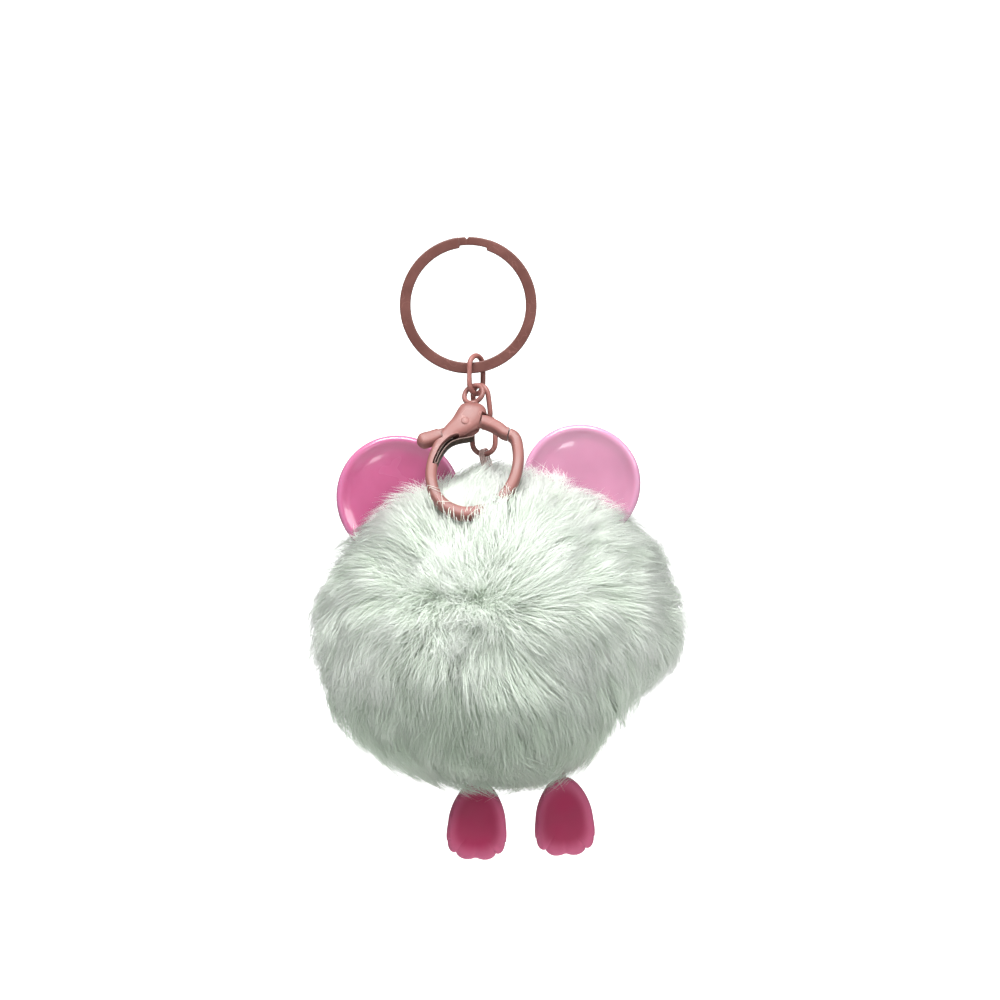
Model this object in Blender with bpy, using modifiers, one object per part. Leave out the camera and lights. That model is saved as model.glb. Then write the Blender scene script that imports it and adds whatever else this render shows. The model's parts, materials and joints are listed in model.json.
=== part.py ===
"""Plush keychain: a fur ball with two soft plastic ears and two hanging feet, a lobster clasp and a
three-link chain on a split ring. It hangs as it does from a hook: +Z is up, the front faces -Y, and the
origin is the inside of the split ring's top, where a hook carries it. Metres throughout.
"""
import math

import bmesh
import bpy
import numpy as np
from mathutils import Matrix, Vector

MM = 0.001
GAP = 0.3 * MM  # room left between two pieces that touch

# Split ring: flat wire wound twice, in the XZ plane
RING_OUTER_D = 30.0 * MM
RING_BAND = 2.4 * MM  # radial width of the flat wire
RING_WIRE_T = 0.9 * MM  # thickness of one turn, along Y
RING_TURN_GAP = 0.12 * MM
RING_CROSSING_DEG = (-9.0, 20.0)  # where the wire steps from the back turn to the front one

# Chain: three equal links of round wire
LINK_LENGTH = 9.5 * MM
LINK_WIDTH = 6.2 * MM
LINK_WIRE_R = 0.575 * MM
LINK_UPPER_X = 1.75 * MM
LINK_UPPER_TURN = math.radians(54)  # of each link's plane from the front, about Z
LINK_MIDDLE_TURN = math.radians(-48)
LINK_LOWER_TURN = math.radians(6)
HANG_GAP = 0.42 * MM  # at the crown of each bend, which leaves 0.3 mm further round it
LINK_SIDE_GAP = 0.225 * MM  # from the middle link to the upper link's side
LINK_MIDDLE_LEAN = 1.0 * MM  # how far the middle link's foot is pushed right

# Lobster clasp, measured in its own plane from the middle of its swivel eye
CLASP_LENGTH = 30.2 * MM
CLASP_TILT = math.radians(30)  # its foot leans out to the front
EYE_WIDTH = 5.7 * MM
EYE_HEIGHT = 5.4 * MM
EYE_WIRE_R = 0.55 * MM
EYE_TURN = math.radians(-28)  # the swivel eye turned towards the link it hangs on
EYE_SIDE_STEP = -0.95 * MM
STEM_R = 0.8 * MM
STEM_HEAD_R = 1.45 * MM
STEM_HEAD_T = 0.7 * MM
STEM_END = 0.175  # how far down the clasp its stem ends
SLOT_HALF = 1.2 * MM  # half the width of the lever's slot
LEVER_HALF = 0.9 * MM
GATE_DEPTH = 3.2 * MM
PIN_R = 0.6 * MM
GATE_OPEN = math.radians(25)
# The body's centre line from the head, round the loop, to the hook's tip, as parts of CLASP_LENGTH:
# right, down, width in the plane, depth across it
CLASP_LINE = (
    (0.003, 0.103, 0.120, 0.110),
    (-0.002, 0.135, 0.195, 0.155),
    (-0.022, 0.200, 0.218, 0.166),
    (-0.083, 0.275, 0.185, 0.160),
    (-0.162, 0.338, 0.132, 0.140),
    (-0.228, 0.417, 0.100, 0.126),
    (-0.281, 0.536, 0.086, 0.113),
    (-0.305, 0.682, 0.083, 0.106),
    (-0.278, 0.828, 0.083, 0.106),
    (-0.199, 0.940, 0.086, 0.106),
    (-0.073, 1.000, 0.093, 0.109),
    (0.066, 0.974, 0.086, 0.106),
    (0.192, 0.884, 0.083, 0.106),
    (0.278, 0.755, 0.083, 0.106),
    (0.318, 0.609, 0.083, 0.106),
    (0.321, 0.477, 0.083, 0.106),
    (0.297, 0.372, 0.083, 0.106),
    (0.272, 0.320, 0.076, 0.100),
)
PIVOT_AT = (-0.060, 0.268)  # the lever's pin, right and down
# The lever's centre line from the thumb tab to the gate's tip: right, down, height
LEVER_LINE = (
    (-0.407, 0.411, 0.070),
    (-0.364, 0.394, 0.103),
    (-0.298, 0.371, 0.100),
    (-0.166, 0.315, 0.086),
    (-0.060, 0.268, 0.100),
    (0.033, 0.238, 0.092),
    (0.090, 0.242, 0.090),
    (0.172, 0.285, 0.086),
    (0.252, 0.341, 0.083),
)
# The channel in the left arm's inner side, right and down
CHANNEL_LINE = ((-0.100, 0.360), (-0.165, 0.405), (-0.215, 0.470), (-0.250, 0.560), (-0.262, 0.600))
CHANNEL_WIDTH = 2.0 * MM
# The leaf spring's centre line in that channel, right and down
SPRING_LINE = ((-0.232, 0.505), (-0.185, 0.452), (-0.120, 0.405), (-0.050, 0.392), (0.000, 0.372))
SPRING_HALF = 0.7 * MM
SPRING_T = 0.4 * MM
SLOT_EXTRA = 0.09 * MM  # the slot's room beyond the usual gap
RIVET_HALF = 0.080  # part of the clasp's length from its plane to the rivet's head
RIVET_HEAD = 0.35 * MM
TAB_ENDS_AT = 0.24  # parts of the lever's line: the slotted stretch lies between these two
GATE_STARTS_AT = 0.69

# Fur ball: a knitted core ball, stuffed, with its pile standing out all round
CORE_R = 20.0 * MM
KNIT_T = 1.2 * MM
NECK_R = 2.3 * MM  # inside of the gathered neck
NECK_HEIGHT = 2.5 * MM
NECK_WALL = 1.0 * MM
GATHER_R = 0.35 * MM  # the gathering thread
DISC_R = 3.4 * MM  # the anchor disc under the neck
DISC_T = 0.8 * MM
DISC_HOLE_SIDE = 1.1 * MM  # from the disc's middle to each of its holes
DENT_DEPTH = 4.0 * MM  # the hollow in the filling that the disc and its knots stand in
PILE_X = 37.0 * MM  # the dense pile's half sizes; loose hair ends stand past them
PILE_Y = 31.0 * MM
PILE_Z = 31.4 * MM
BALL_DROP = 37.6 * MM  # from the lower link's foot to the ball's middle
BALL_SIDE = 4.0 * MM  # the ball's middle, right of and behind the lower link
BALL_BACK = 3.3 * MM
# Swells and hollows of the pile: direction, height, and spread in radians
PILE_LOBES = (
    ((0.82, 0.0, -0.57), -8.0 * MM, 0.24),
    ((-0.84, 0.0, -0.54), 2.4 * MM, 0.30),
    ((0.82, 0.0, 0.57), -1.4 * MM, 0.30),
    ((-0.62, -0.50, 0.60), -3.0 * MM, 0.32),
    ((0.56, -0.50, 0.66), -2.5 * MM, 0.32),
)

# Ears: dished soft plastic discs, each with a sewing tab
EAR_LEFT_R = 13.6 * MM
EAR_RIGHT_R = 13.0 * MM
EAR_LEFT_AT = math.radians(129)  # round the ball, from its right side
EAR_RIGHT_AT = math.radians(61)
EAR_RIM_T = 2.6 * MM
EAR_DISH = 1.1 * MM
EAR_TAB = 2.4 * MM
EAR_TAB_W = 4.2 * MM
EAR_TAB_T = 1.6 * MM
EAR_HOLE_AT = 0.42  # part of the tab's length from the disc's edge to the stitching hole
EAR_FRONT = 4.0 * MM  # the ears stand this far in front of the ball's middle

# Feet: flat soft plastic paws on eyelets
FOOT_HEIGHT = 17.3 * MM
FOOT_WIDTH = 13.6 * MM
FOOT_DEPTH = 6.0 * MM
FOOT_DROP = 2.6 * MM  # from its eyelet to its shoulder
FOOT_LEFT_X = -5.1 * MM
FOOT_RIGHT_X = 13.1 * MM
FOOT_FRONT = 3.0 * MM
FOOT_RIGHT_RISE = 0.9 * MM  # the right foot's eyelet above the left one's
FOOT_LEANS = (math.radians(-2), math.radians(5))
EYELET_T = 1.2 * MM
EYELET_WALL = 1.0 * MM
STEM_W = 1.8 * MM  # the strap between an eyelet and its paw

THREAD_R = 0.3 * MM
FOOT_THREAD_R = 0.25 * MM

RING_R = RING_OUTER_D / 2
RING_CENTRE = Vector((0, 0, RING_BAND - RING_R))


def srgb(red, green, blue):
    """A screen colour, 0 to 255, as the linear value a shader takes."""
    return tuple((v / 255) ** 2.2 for v in (red, green, blue)) + (1.0,)


def material(name, colour, roughness, metallic=0.0):
    made = bpy.data.materials.new(name)
    made.use_nodes = True
    shader = made.node_tree.nodes["Principled BSDF"]
    shader.inputs["Base Color"].default_value = colour
    shader.inputs["Roughness"].default_value = roughness
    shader.inputs["Metallic"].default_value = metallic
    return made


def collection(name):
    made = bpy.data.collections.new(name)
    bpy.context.scene.collection.children.link(made)
    return made


for old in list(bpy.data.objects):
    bpy.data.objects.remove(old, do_unlink=True)
PARTS = collection("plush_keychain")
CUTTERS = collection("cutters")


# ---------------------------------------------------------------- building tools


def put(name, data, colour=None, group=PARTS):
    """Wrap mesh or curve data in an object of that name."""
    made = bpy.data.objects.new(name, data)
    group.objects.link(made)
    if colour:
        data.materials.append(colour)
    return made


def as_cutter(made):
    made.hide_render = True
    made.display_type = "WIRE"
    return made


def finish(work, name, matrix=None):
    """Turn a bmesh into smooth-shaded mesh data."""
    bmesh.ops.recalc_face_normals(work, faces=work.faces)
    if matrix is not None:
        work.transform(matrix)
    data = bpy.data.meshes.new(name)
    work.to_mesh(data)
    work.free()
    data.shade_smooth()
    data.set_sharp_from_angle(angle=math.radians(35))
    return data


def ball_mesh(name, centre, sizes, turn=None, segments=24, rings=14):
    """An ellipsoid of those half sizes."""
    work = bmesh.new()
    bmesh.ops.create_uvsphere(work, u_segments=segments, v_segments=rings, radius=1.0)
    place = Matrix.Translation(centre) @ (turn or Matrix.Identity(4))
    return finish(work, name, place @ Matrix.Diagonal((*sizes, 1.0)))


def rod_mesh(name, start, end, radius, segments=16):
    """A capped cylinder between two points."""
    work = bmesh.new()
    along = Vector(end) - Vector(start)
    bmesh.ops.create_cone(
        work, cap_ends=True, segments=segments, radius1=radius, radius2=radius, depth=along.length
    )
    turn = along.to_track_quat("Z", "Y").to_matrix().to_4x4()
    return finish(work, name, Matrix.Translation((Vector(start) + Vector(end)) / 2) @ turn)


def boolean(target, tool, operation="DIFFERENCE"):
    """Cut with, or join, a tool object, which moves to the cutters."""
    step = target.modifiers.new(operation.title(), "BOOLEAN")
    step.operation = operation
    step.solver = "EXACT"
    step.object = as_cutter(tool)


def wire(name, points, radius, colour, closed=False, detail=2, widths=None):
    """A round wire through the points, as a bevelled curve."""
    data = bpy.data.curves.new(name, "CURVE")
    data.dimensions = "3D"
    data.bevel_depth = radius
    data.bevel_resolution = detail
    data.use_fill_caps = True
    line = data.splines.new("POLY")
    line.points.add(len(points) - 1)
    for at, (spot, point) in enumerate(zip(line.points, points)):
        spot.co = (*point, 1.0)
        spot.radius = widths[at] if widths is not None else 1.0
    line.use_cyclic_u = closed
    return put(name, data, colour)


def wire_as_mesh(curve, group=PARTS):
    """The same wire as a welded mesh object, ready to be cut or joined."""
    bpy.context.view_layer.update()
    seen = curve.evaluated_get(bpy.context.evaluated_depsgraph_get())
    data = bpy.data.meshes.new_from_object(seen)
    work = bmesh.new()
    work.from_mesh(data)
    bmesh.ops.remove_doubles(work, verts=work.verts, dist=0.001 * MM)
    bmesh.ops.recalc_face_normals(work, faces=work.faces)
    work.to_mesh(data)
    work.free()
    name, place = curve.name, curve.matrix_world.copy()
    bpy.data.objects.remove(curve, do_unlink=True)
    made = put(name, data, group=group)
    made.matrix_world = place
    return made


def loft(name, sections):
    """A closed skin over a row of sections, each an equal number of points, with flat ends."""
    work = bmesh.new()
    rows = [[work.verts.new(point) for point in section] for section in sections]
    count = len(rows[0])
    for low, high in zip(rows, rows[1:]):
        for at in range(count):
            work.faces.new((low[at], low[(at + 1) % count], high[(at + 1) % count], high[at]))
    work.faces.new(rows[0][::-1])
    work.faces.new(rows[-1])
    return finish(work, name)


def smooth_line(points, count):
    """Evenly spread samples of a smooth curve through the points, all columns alike."""
    points = np.asarray(points, float)
    ends = np.vstack([2 * points[0] - points[1], points, 2 * points[-1] - points[-2]])
    spots = []
    for at in range(len(points) - 1):
        a, b, c, d = ends[at : at + 4]
        t = np.linspace(0, 1, 24, endpoint=False)[:, None]
        spots.append(
            0.5
            * (
                2 * b
                + (c - a) * t
                + (2 * a - 5 * b + 4 * c - d) * t**2
                + (3 * b - a - 3 * c + d) * t**3
            )
        )
    spots = np.vstack([*spots, points[-1:]])
    run = np.r_[0, np.cumsum(np.linalg.norm(np.diff(spots[:, :2], axis=0), axis=1))]
    where = np.atleast_1d(count) if np.ndim(count) else np.linspace(0, 1, count)
    return np.column_stack([np.interp(where * run[-1], run, column) for column in spots.T])


def hull(points):
    """The convex outline round flat points, anticlockwise."""
    points = sorted(map(tuple, points))

    def chain(row):
        kept = []
        for point in row:
            while len(kept) > 1 and turn_of(kept[-2], kept[-1], point) <= 0:
                kept.pop()
            kept.append(point)
        return kept[:-1]

    return chain(points) + chain(points[::-1])


def turn_of(a, b, c):
    return (b[0] - a[0]) * (c[1] - a[1]) - (b[1] - a[1]) * (c[0] - a[0])


def carry(nodes, name, pivot, parent=None):
    """Parent nodes to an empty that stands on their joint's axis."""
    empty = bpy.data.objects.new(name, None)
    PARTS.objects.link(empty)
    empty.empty_display_size = 2 * MM
    empty.location = pivot
    bpy.context.view_layer.update()
    if parent:
        empty.parent = parent
        empty.matrix_parent_inverse = parent.matrix_world.inverted()
    bpy.context.view_layer.update()
    for node in nodes:
        node.parent = empty
        node.matrix_parent_inverse = empty.matrix_world.inverted()
    return empty


# ---------------------------------------------------------------- split ring and chain


def split_ring(colour):
    """Flat wire wound twice; it steps from the back turn to the front one near the top."""
    first, last = (math.radians(v) for v in RING_CROSSING_DEG)
    turn_y = (RING_WIRE_T + RING_TURN_GAP) / 2
    radius = RING_R - RING_BAND / 2
    angles = np.r_[
        np.linspace(last, 2 * math.pi + first, 44, endpoint=False),
        np.linspace(2 * math.pi + first, 2 * math.pi + last, 7, endpoint=False),
        np.linspace(2 * math.pi + last, 4 * math.pi + first, 44),
    ]
    step = np.clip((angles - 2 * math.pi - first) / (last - first), 0, 1)
    ys = turn_y - 2 * turn_y * step**2 * (3 - 2 * step)
    corners = [(-1, -1), (1, -1), (1, 1), (-1, 1)]
    sections = []
    for angle, y in zip(angles, ys):
        out = Vector((math.sin(angle), 0, math.cos(angle)))
        middle = RING_CENTRE + out * radius + Vector((0, y, 0))
        sections.append(
            [middle + out * (i * RING_BAND / 2) + Vector((0, j * RING_WIRE_T / 2, 0)) for i, j in corners]
        )
    return put("split_ring", loft("split_ring", sections), colour)


def link_points(top, foot, turn, count=32):
    """The centre line of an oval link between its top and foot, its plane turned about Z."""
    top, foot = Vector(top), Vector(foot)
    up = (top - foot).normalized()
    side = Vector((math.cos(turn), math.sin(turn), 0))
    side = (side - up * side.dot(up)).normalized()
    middle = (top + foot) / 2
    bend = LINK_WIDTH / 2 - LINK_WIRE_R
    straight = (top - foot).length / 2 - bend
    points = []
    for at in range(count):
        angle = 2 * math.pi * (at + 0.5) / count
        rise = math.sin(angle) * bend + math.copysign(straight, math.sin(angle))
        points.append(middle + side * (math.cos(angle) * bend) + up * rise)
    return points


def chain_places():
    """Centre-line top and foot of the three links, each resting just off the one above.

    The middle link hangs beside the clasp's eye, as far along the upper link's bend as it goes.
    """
    side_step = LINK_WIDTH / 2 - 3 * LINK_WIRE_R - LINK_SIDE_GAP
    reach = LINK_LENGTH - 2 * LINK_WIRE_R
    rest = 2 * LINK_WIRE_R + HANG_GAP
    bend = LINK_WIDTH / 2 - LINK_WIRE_R
    inside = RING_R - RING_BAND
    edge = (RING_WIRE_T + RING_TURN_GAP / 2) / math.sin(LINK_UPPER_TURN)
    edge_x = LINK_UPPER_X + edge * math.cos(LINK_UPPER_TURN)
    inner = bend - LINK_WIRE_R
    clear = inner - math.sqrt(inner**2 - edge**2) + inside - math.sqrt(inside**2 - edge_x**2)
    top = RING_CENTRE + Vector((LINK_UPPER_X, 0, LINK_WIRE_R + GAP + clear - inside))
    upper = (top, top - Vector((0, 0, reach)))
    along = Vector((math.cos(LINK_UPPER_TURN), math.sin(LINK_UPPER_TURN), 0))
    rise = bend - math.sqrt(bend**2 - side_step**2)
    top = upper[1] + along * side_step + Vector((0, 0, rest + rise))
    foot = top + Vector((LINK_MIDDLE_LEAN, 0, -math.sqrt(reach**2 - LINK_MIDDLE_LEAN**2)))
    middle = (top, foot)
    top = foot + Vector((0, 0, rest))
    return upper, middle, (top, top - Vector((0, 0, reach)))


# ---------------------------------------------------------------- clasp

UPPER, MIDDLE, LOWER = chain_places()
LINK_ALONG = Vector((math.cos(LINK_UPPER_TURN), math.sin(LINK_UPPER_TURN), 0))
EYE_HALF = EYE_HEIGHT / 2 - EYE_WIRE_R
EYE_RISE = LINK_WIRE_R + HANG_GAP + EYE_WIRE_R
BEND_R = LINK_WIDTH / 2 - LINK_WIRE_R
EYE_LIFT = BEND_R - math.sqrt(BEND_R**2 - EYE_SIDE_STEP**2)  # as the link's bend rises to that side
CLASP_UP = Vector((0, math.sin(CLASP_TILT), math.cos(CLASP_TILT)))
CLASP_OUT = Vector((0, -math.cos(CLASP_TILT), math.sin(CLASP_TILT)))
EYE_CENTRE = UPPER[1] + LINK_ALONG * EYE_SIDE_STEP + Vector((0, 0, EYE_LIFT))
EYE_CENTRE += Vector((0, 0, EYE_RISE)) - CLASP_UP * EYE_HALF
# The eye rolls on the link's wire, so it swings about a point between the two wires
CLASP_SWING = EYE_CENTRE + CLASP_UP * EYE_HALF + Vector((0, 0.25 * MM, -0.6 * MM))


def on_clasp(right, up, out=0.0):
    """A place in the clasp's own plane, as a point in space."""
    return EYE_CENTRE + Vector((right, 0, 0)) + CLASP_UP * up + CLASP_OUT * out


def clasp_matrix():
    """The clasp's plane as a matrix: X right, Y up the clasp, Z out of its plane."""
    turn = Matrix((Vector((1, 0, 0)), CLASP_UP, CLASP_OUT)).transposed()
    return Matrix.Translation(EYE_CENTRE) @ turn.to_4x4()


def rounded(width, depth, count=12, power=0.62):
    """A rounded box section, as across and out pairs."""
    angles = [2 * math.pi * (at + 0.5) / count for at in range(count)]
    return [
        (
            math.copysign(abs(math.cos(v)) ** power, math.cos(v)) * width / 2,
            math.copysign(abs(math.sin(v)) ** power, math.sin(v)) * depth / 2,
        )
        for v in angles
    ]


def clasp_loft(name, line, count=12):
    """A loft along a line in the clasp's plane: right, up, width and depth at each station."""
    ahead = np.gradient(line[:, :2], axis=0)
    ahead /= np.linalg.norm(ahead, axis=1)[:, None]
    sections = []
    for (right, up, width, depth), (dx, dy) in zip(line, ahead):
        sections.append(
            [on_clasp(right - dy * i, up + dx * i, j) for i, j in rounded(width, depth, count)]
        )
    return loft(name, sections)


def lever_line():
    """The lever's stations: wide at the tab and the gate, thin in the slot between them."""
    line = np.array(LEVER_LINE) * CLASP_LENGTH
    line[:, 1] *= -1
    step = 0.004
    stops = np.unique(
        np.r_[
            np.linspace(0, TAB_ENDS_AT, 5),
            np.linspace(TAB_ENDS_AT + step, GATE_STARTS_AT - step, 8),
            np.linspace(GATE_STARTS_AT, 1, 6),
        ]
    )
    spots = smooth_line(line, stops)
    wide = (stops <= TAB_ENDS_AT) | (stops >= GATE_STARTS_AT)
    depth = np.where(wide, GATE_DEPTH, 2 * LEVER_HALF)
    return np.column_stack([spots, depth]), stops


def swing_outline(spots, room):
    """The outline that lever stations cover from shut to open, with room all round."""
    pivot = np.array((PIVOT_AT[0], -PIVOT_AT[1])) * CLASP_LENGTH
    ahead = np.gradient(spots[:, :2], axis=0)
    ahead /= np.linalg.norm(ahead, axis=1)[:, None]
    middle = spots[:, :2].copy()
    middle[0] -= ahead[0] * room
    middle[-1] += ahead[-1] * room
    across = np.column_stack([-ahead[:, 1], ahead[:, 0]]) * (spots[:, 2:3] / 2 + room)
    edge = np.vstack([middle + across, middle - across])
    covered = []
    for share in np.linspace(0, 1.06, 5):
        angle = -GATE_OPEN * share
        turn = np.array(((math.cos(angle), -math.sin(angle)), (math.sin(angle), math.cos(angle))))
        covered.append((edge - pivot) @ turn.T + pivot)
    return hull(np.vstack(covered))


def prism(name, outline, half_depth):
    """A flat outline in the clasp's plane, given thickness, as a cutter."""
    data = bpy.data.curves.new(name, "CURVE")
    data.dimensions = "2D"
    data.fill_mode = "BOTH"
    data.extrude = half_depth
    line = data.splines.new("POLY")
    line.points.add(len(outline) - 1)
    for spot, point in zip(line.points, outline):
        spot.co = (*point, 0.0, 1.0)
    line.use_cyclic_u = True
    flat = put(name, data, group=CUTTERS)
    flat.matrix_world = clasp_matrix()
    return wire_as_mesh(flat, CUTTERS)


def clasp_body(colour):
    """The cast hook: slotted head, channelled left arm, open loop."""
    line = np.array(CLASP_LINE) * CLASP_LENGTH
    line[:, 1] *= -1
    spots = smooth_line(line, 40)
    body = put("clasp_body", clasp_loft("clasp_body", spots), colour)
    lever, stops = lever_line()
    slotted = lever[(stops > TAB_ENDS_AT) & (stops < GATE_STARTS_AT)]
    tab = lever[stops <= TAB_ENDS_AT]
    gate = lever[stops >= GATE_STARTS_AT]
    full = 0.2 * CLASP_LENGTH
    boolean(body, prism("tab_cutter", swing_outline(tab, GAP), full))
    boolean(body, prism("gate_cutter", swing_outline(gate, GAP), full))
    boolean(body, prism("slot_cutter", swing_outline(slotted, GAP + SLOT_EXTRA), SLOT_HALF))
    channel = smooth_line(np.array(CHANNEL_LINE) * (CLASP_LENGTH, -CLASP_LENGTH), 9)
    sizes = np.tile((CHANNEL_WIDTH, 2 * (SPRING_HALF + GAP)), (len(channel), 1))
    groove = clasp_loft("channel_cutter", np.column_stack([channel, sizes]), 8)
    boolean(body, put("channel_cutter", groove, group=CUTTERS))
    bore = STEM_R + GAP
    pocket = -CLASP_LENGTH * STEM_END
    stem = rod_mesh("stem_bore", on_clasp(0, 0), on_clasp(0, pocket), bore)
    boolean(body, put("stem_bore", stem, group=CUTTERS))
    head = rod_mesh(
        "stem_pocket",
        on_clasp(0, pocket + GAP + STEM_HEAD_T),
        on_clasp(0, pocket - GAP),
        STEM_HEAD_R + GAP,
    )
    boolean(body, put("stem_pocket", head, group=CUTTERS))
    pin = rod_mesh("pin_bore", pivot_point(-full), pivot_point(full), PIN_R + GAP)
    boolean(body, put("pin_bore", pin, group=CUTTERS))
    return body


def pivot_point(out=0.0):
    return on_clasp(PIVOT_AT[0] * CLASP_LENGTH, -PIVOT_AT[1] * CLASP_LENGTH, out)


def clasp_gate_lever(colour):
    lever = put("clasp_gate_lever", clasp_loft("clasp_gate_lever", lever_line()[0]), colour)
    hole = rod_mesh("lever_bore", pivot_point(-GATE_DEPTH), pivot_point(GATE_DEPTH), PIN_R + GAP)
    boolean(lever, put("lever_bore", hole, group=CUTTERS))
    return lever


def clasp_pin(colour):
    """The lever's rivet: a turned pin with a low head at each end."""
    half = CLASP_LENGTH * RIVET_HALF + GAP
    top = half + RIVET_HEAD
    cap_r = PIN_R + GAP + 0.25 * MM
    profile = [(0, top), (cap_r * 0.7, top), (cap_r, half), (PIN_R, half)]
    return turned("clasp_pivot_pin", profile + [(r, -z) for r, z in profile[::-1]], 16, colour)


def turned(name, profile, steps, colour):
    """A profile of radius and height pairs, top to bottom, turned about its own Z."""
    data = bpy.data.meshes.new(name)
    work = bmesh.new()
    row = [work.verts.new((radius, 0, height)) for radius, height in profile]
    for start, end in zip(row, row[1:]):
        work.edges.new((start, end))
    work.to_mesh(data)
    work.free()
    made = put(name, data, colour)
    screw = made.modifiers.new("Screw", "SCREW")
    screw.steps = steps
    screw.render_steps = steps
    screw.use_merge_vertices = True
    screw.merge_threshold = 0.005 * MM
    screw.use_smooth_shade = True
    return made


def clasp_spring(colour):
    """A bent leaf that lies under the lever in the arm's channel and pushes the gate shut."""
    spots = smooth_line(np.array(SPRING_LINE) * (CLASP_LENGTH, -CLASP_LENGTH), 9)
    sizes = np.tile((SPRING_T, 2 * SPRING_HALF), (len(spots), 1))
    return put("clasp_spring", clasp_loft("clasp_spring", np.column_stack([spots, sizes]), 8), colour)


def swivel_eye(colour):
    """The eye, its stem through the clasp's head, and the riveted end inside."""
    side = Matrix.Rotation(EYE_TURN, 4, CLASP_UP) @ Vector((1, 0, 0))
    half_w = EYE_WIDTH / 2 - EYE_WIRE_R
    points = []
    for at in range(28):
        angle = 2 * math.pi * (at + 0.5) / 28
        points.append(
            EYE_CENTRE + side * (half_w * math.cos(angle)) + CLASP_UP * (EYE_HALF * math.sin(angle))
        )
    eye = wire_as_mesh(wire("clasp_swivel_eye", points, EYE_WIRE_R, None, closed=True))
    eye.data.materials.append(colour)
    end = -CLASP_LENGTH * STEM_END
    stem = rod_mesh("stem", on_clasp(0, -EYE_HALF), on_clasp(0, end + STEM_HEAD_T / 2), STEM_R)
    boolean(eye, put("stem", stem, group=CUTTERS), "UNION")
    head = rod_mesh("stem_head", on_clasp(0, end + STEM_HEAD_T), on_clasp(0, end), STEM_HEAD_R)
    boolean(eye, put("stem_head", head, group=CUTTERS), "UNION")
    return eye


# ---------------------------------------------------------------- fur ball

HANG = LOWER[1]
BALL = HANG + Vector((BALL_SIDE, BALL_BACK, -BALL_DROP))
NECK_TOP = BALL + Vector((0, 0, CORE_R + NECK_HEIGHT))


def pile_reach(direction):
    """How far the pile stands from the ball's middle in a direction."""
    x, y, z = direction
    reach = 1 / math.sqrt((x / PILE_X) ** 2 + (y / PILE_Y) ** 2 + (z / PILE_Z) ** 2)
    for way, height, spread in PILE_LOBES:
        apart = direction.angle(Vector(way))
        reach += height * math.exp(-0.5 * (apart / spread) ** 2)
    return reach


def fur_pile(colour, ears, feet):
    """The dense pile: a hollow ball with room for the core, ears, feet, thread and clasp."""
    work = bmesh.new()
    bmesh.ops.create_uvsphere(work, u_segments=40, v_segments=24, radius=1.0)
    for vert in work.verts:
        way = vert.co.normalized()
        vert.co = BALL + way * pile_reach(way)
    pile = put("fur_pile", finish(work, "fur_pile"), colour)
    hollow = CORE_R + GAP
    core = ball_mesh("core_room", BALL, (hollow, hollow, hollow), segments=28, rings=18)
    boolean(pile, put("core_room", core, group=CUTTERS))
    neck_room = NECK_R + NECK_WALL + 2 * GATHER_R + 3 * GAP
    neck = rod_mesh("neck_room", BALL, NECK_TOP + Vector((0, 0, 2 * GAP)), neck_room, 20)
    boolean(pile, put("neck_room", neck, group=CUTTERS))
    along = (HANG - NECK_TOP).normalized()
    thread_room = LINK_WIRE_R + 2 * GAP + 2 * THREAD_R + 0.4 * MM
    bore = rod_mesh("thread_room", NECK_TOP - along * MM, HANG, thread_room)
    boolean(pile, put("thread_room", bore, group=CUTTERS))
    for name, radius, centre, inward, turn in ears:
        half = EAR_RIM_T / 2 + GAP
        face = turn @ Vector((0, 0, 1))
        slot = rod_mesh(name + "_slot", centre - face * half, centre + face * half, radius + GAP, 40)
        boolean(pile, put(name + "_slot", slot, group=CUTTERS))
        spot = centre + inward * (radius + EAR_TAB * 0.65)
        size = EAR_TAB * 1.5
        room = ball_mesh(name + "_room", spot, (size, size, size), segments=18, rings=11)
        boolean(pile, put(name + "_room", room, group=CUTTERS))
    for name, eyelet, _ in feet:
        size = FOOT_DROP + 1.0 * MM
        room = ball_mesh(name + "_room", eyelet, (size, size, size), segments=18, rings=11)
        boolean(pile, put(name + "_room", room, group=CUTTERS))
        above = foot_thread_top(eyelet) + Vector((0, 0, 3 * MM))
        bore = rod_mesh(name + "_bore", eyelet, above, 1.75 * MM, 14)
        boolean(pile, put(name + "_bore", bore, group=CUTTERS))
    lens = ball_mesh(
        "clasp_room",
        Vector(),
        (CLASP_LENGTH * 0.43, CLASP_LENGTH * 0.47, CLASP_LENGTH * 0.21),
        segments=24,
        rings=14,
    )
    lens = put("clasp_room", lens, group=CUTTERS)
    lens.matrix_world = clasp_matrix() @ Matrix.Translation((0, -CLASP_LENGTH * 0.646, 0))
    boolean(pile, lens)
    return pile


def fur_backing(colour):
    """The knitted ball the pile grows on, drawn up into an open neck."""
    arc = [math.radians(v) for v in np.linspace(-90, 83.4, 16)]

    def side(ball_r, neck_r):
        row = [(ball_r * math.cos(v), ball_r * math.sin(v)) for v in arc]
        row[0] = (0.0, -ball_r)
        row = [spot for spot in row if spot[0] > neck_r or spot[1] < 0]
        row.append((neck_r, math.sqrt(ball_r**2 - neck_r**2)))
        row.append((neck_r, CORE_R + NECK_HEIGHT))
        return row

    profile = side(CORE_R - KNIT_T, NECK_R) + side(CORE_R, NECK_R + NECK_WALL)[::-1]
    backing = turned("fur_backing", profile, 28, colour)
    backing.location = BALL
    return backing


def filling(colour):
    size = CORE_R - KNIT_T - GAP
    data = ball_mesh("fibre_filling", BALL, (size, size, size), segments=24, rings=16)
    stuffing = put("fibre_filling", data, colour)
    low, high = BALL + Vector((0, 0, size - DENT_DEPTH)), BALL + Vector((0, 0, size + MM))
    dent = rod_mesh("disc_room", low, high, DISC_R + 4 * GAP, 24)
    boolean(stuffing, put("disc_room", dent, group=CUTTERS))
    return stuffing


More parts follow.
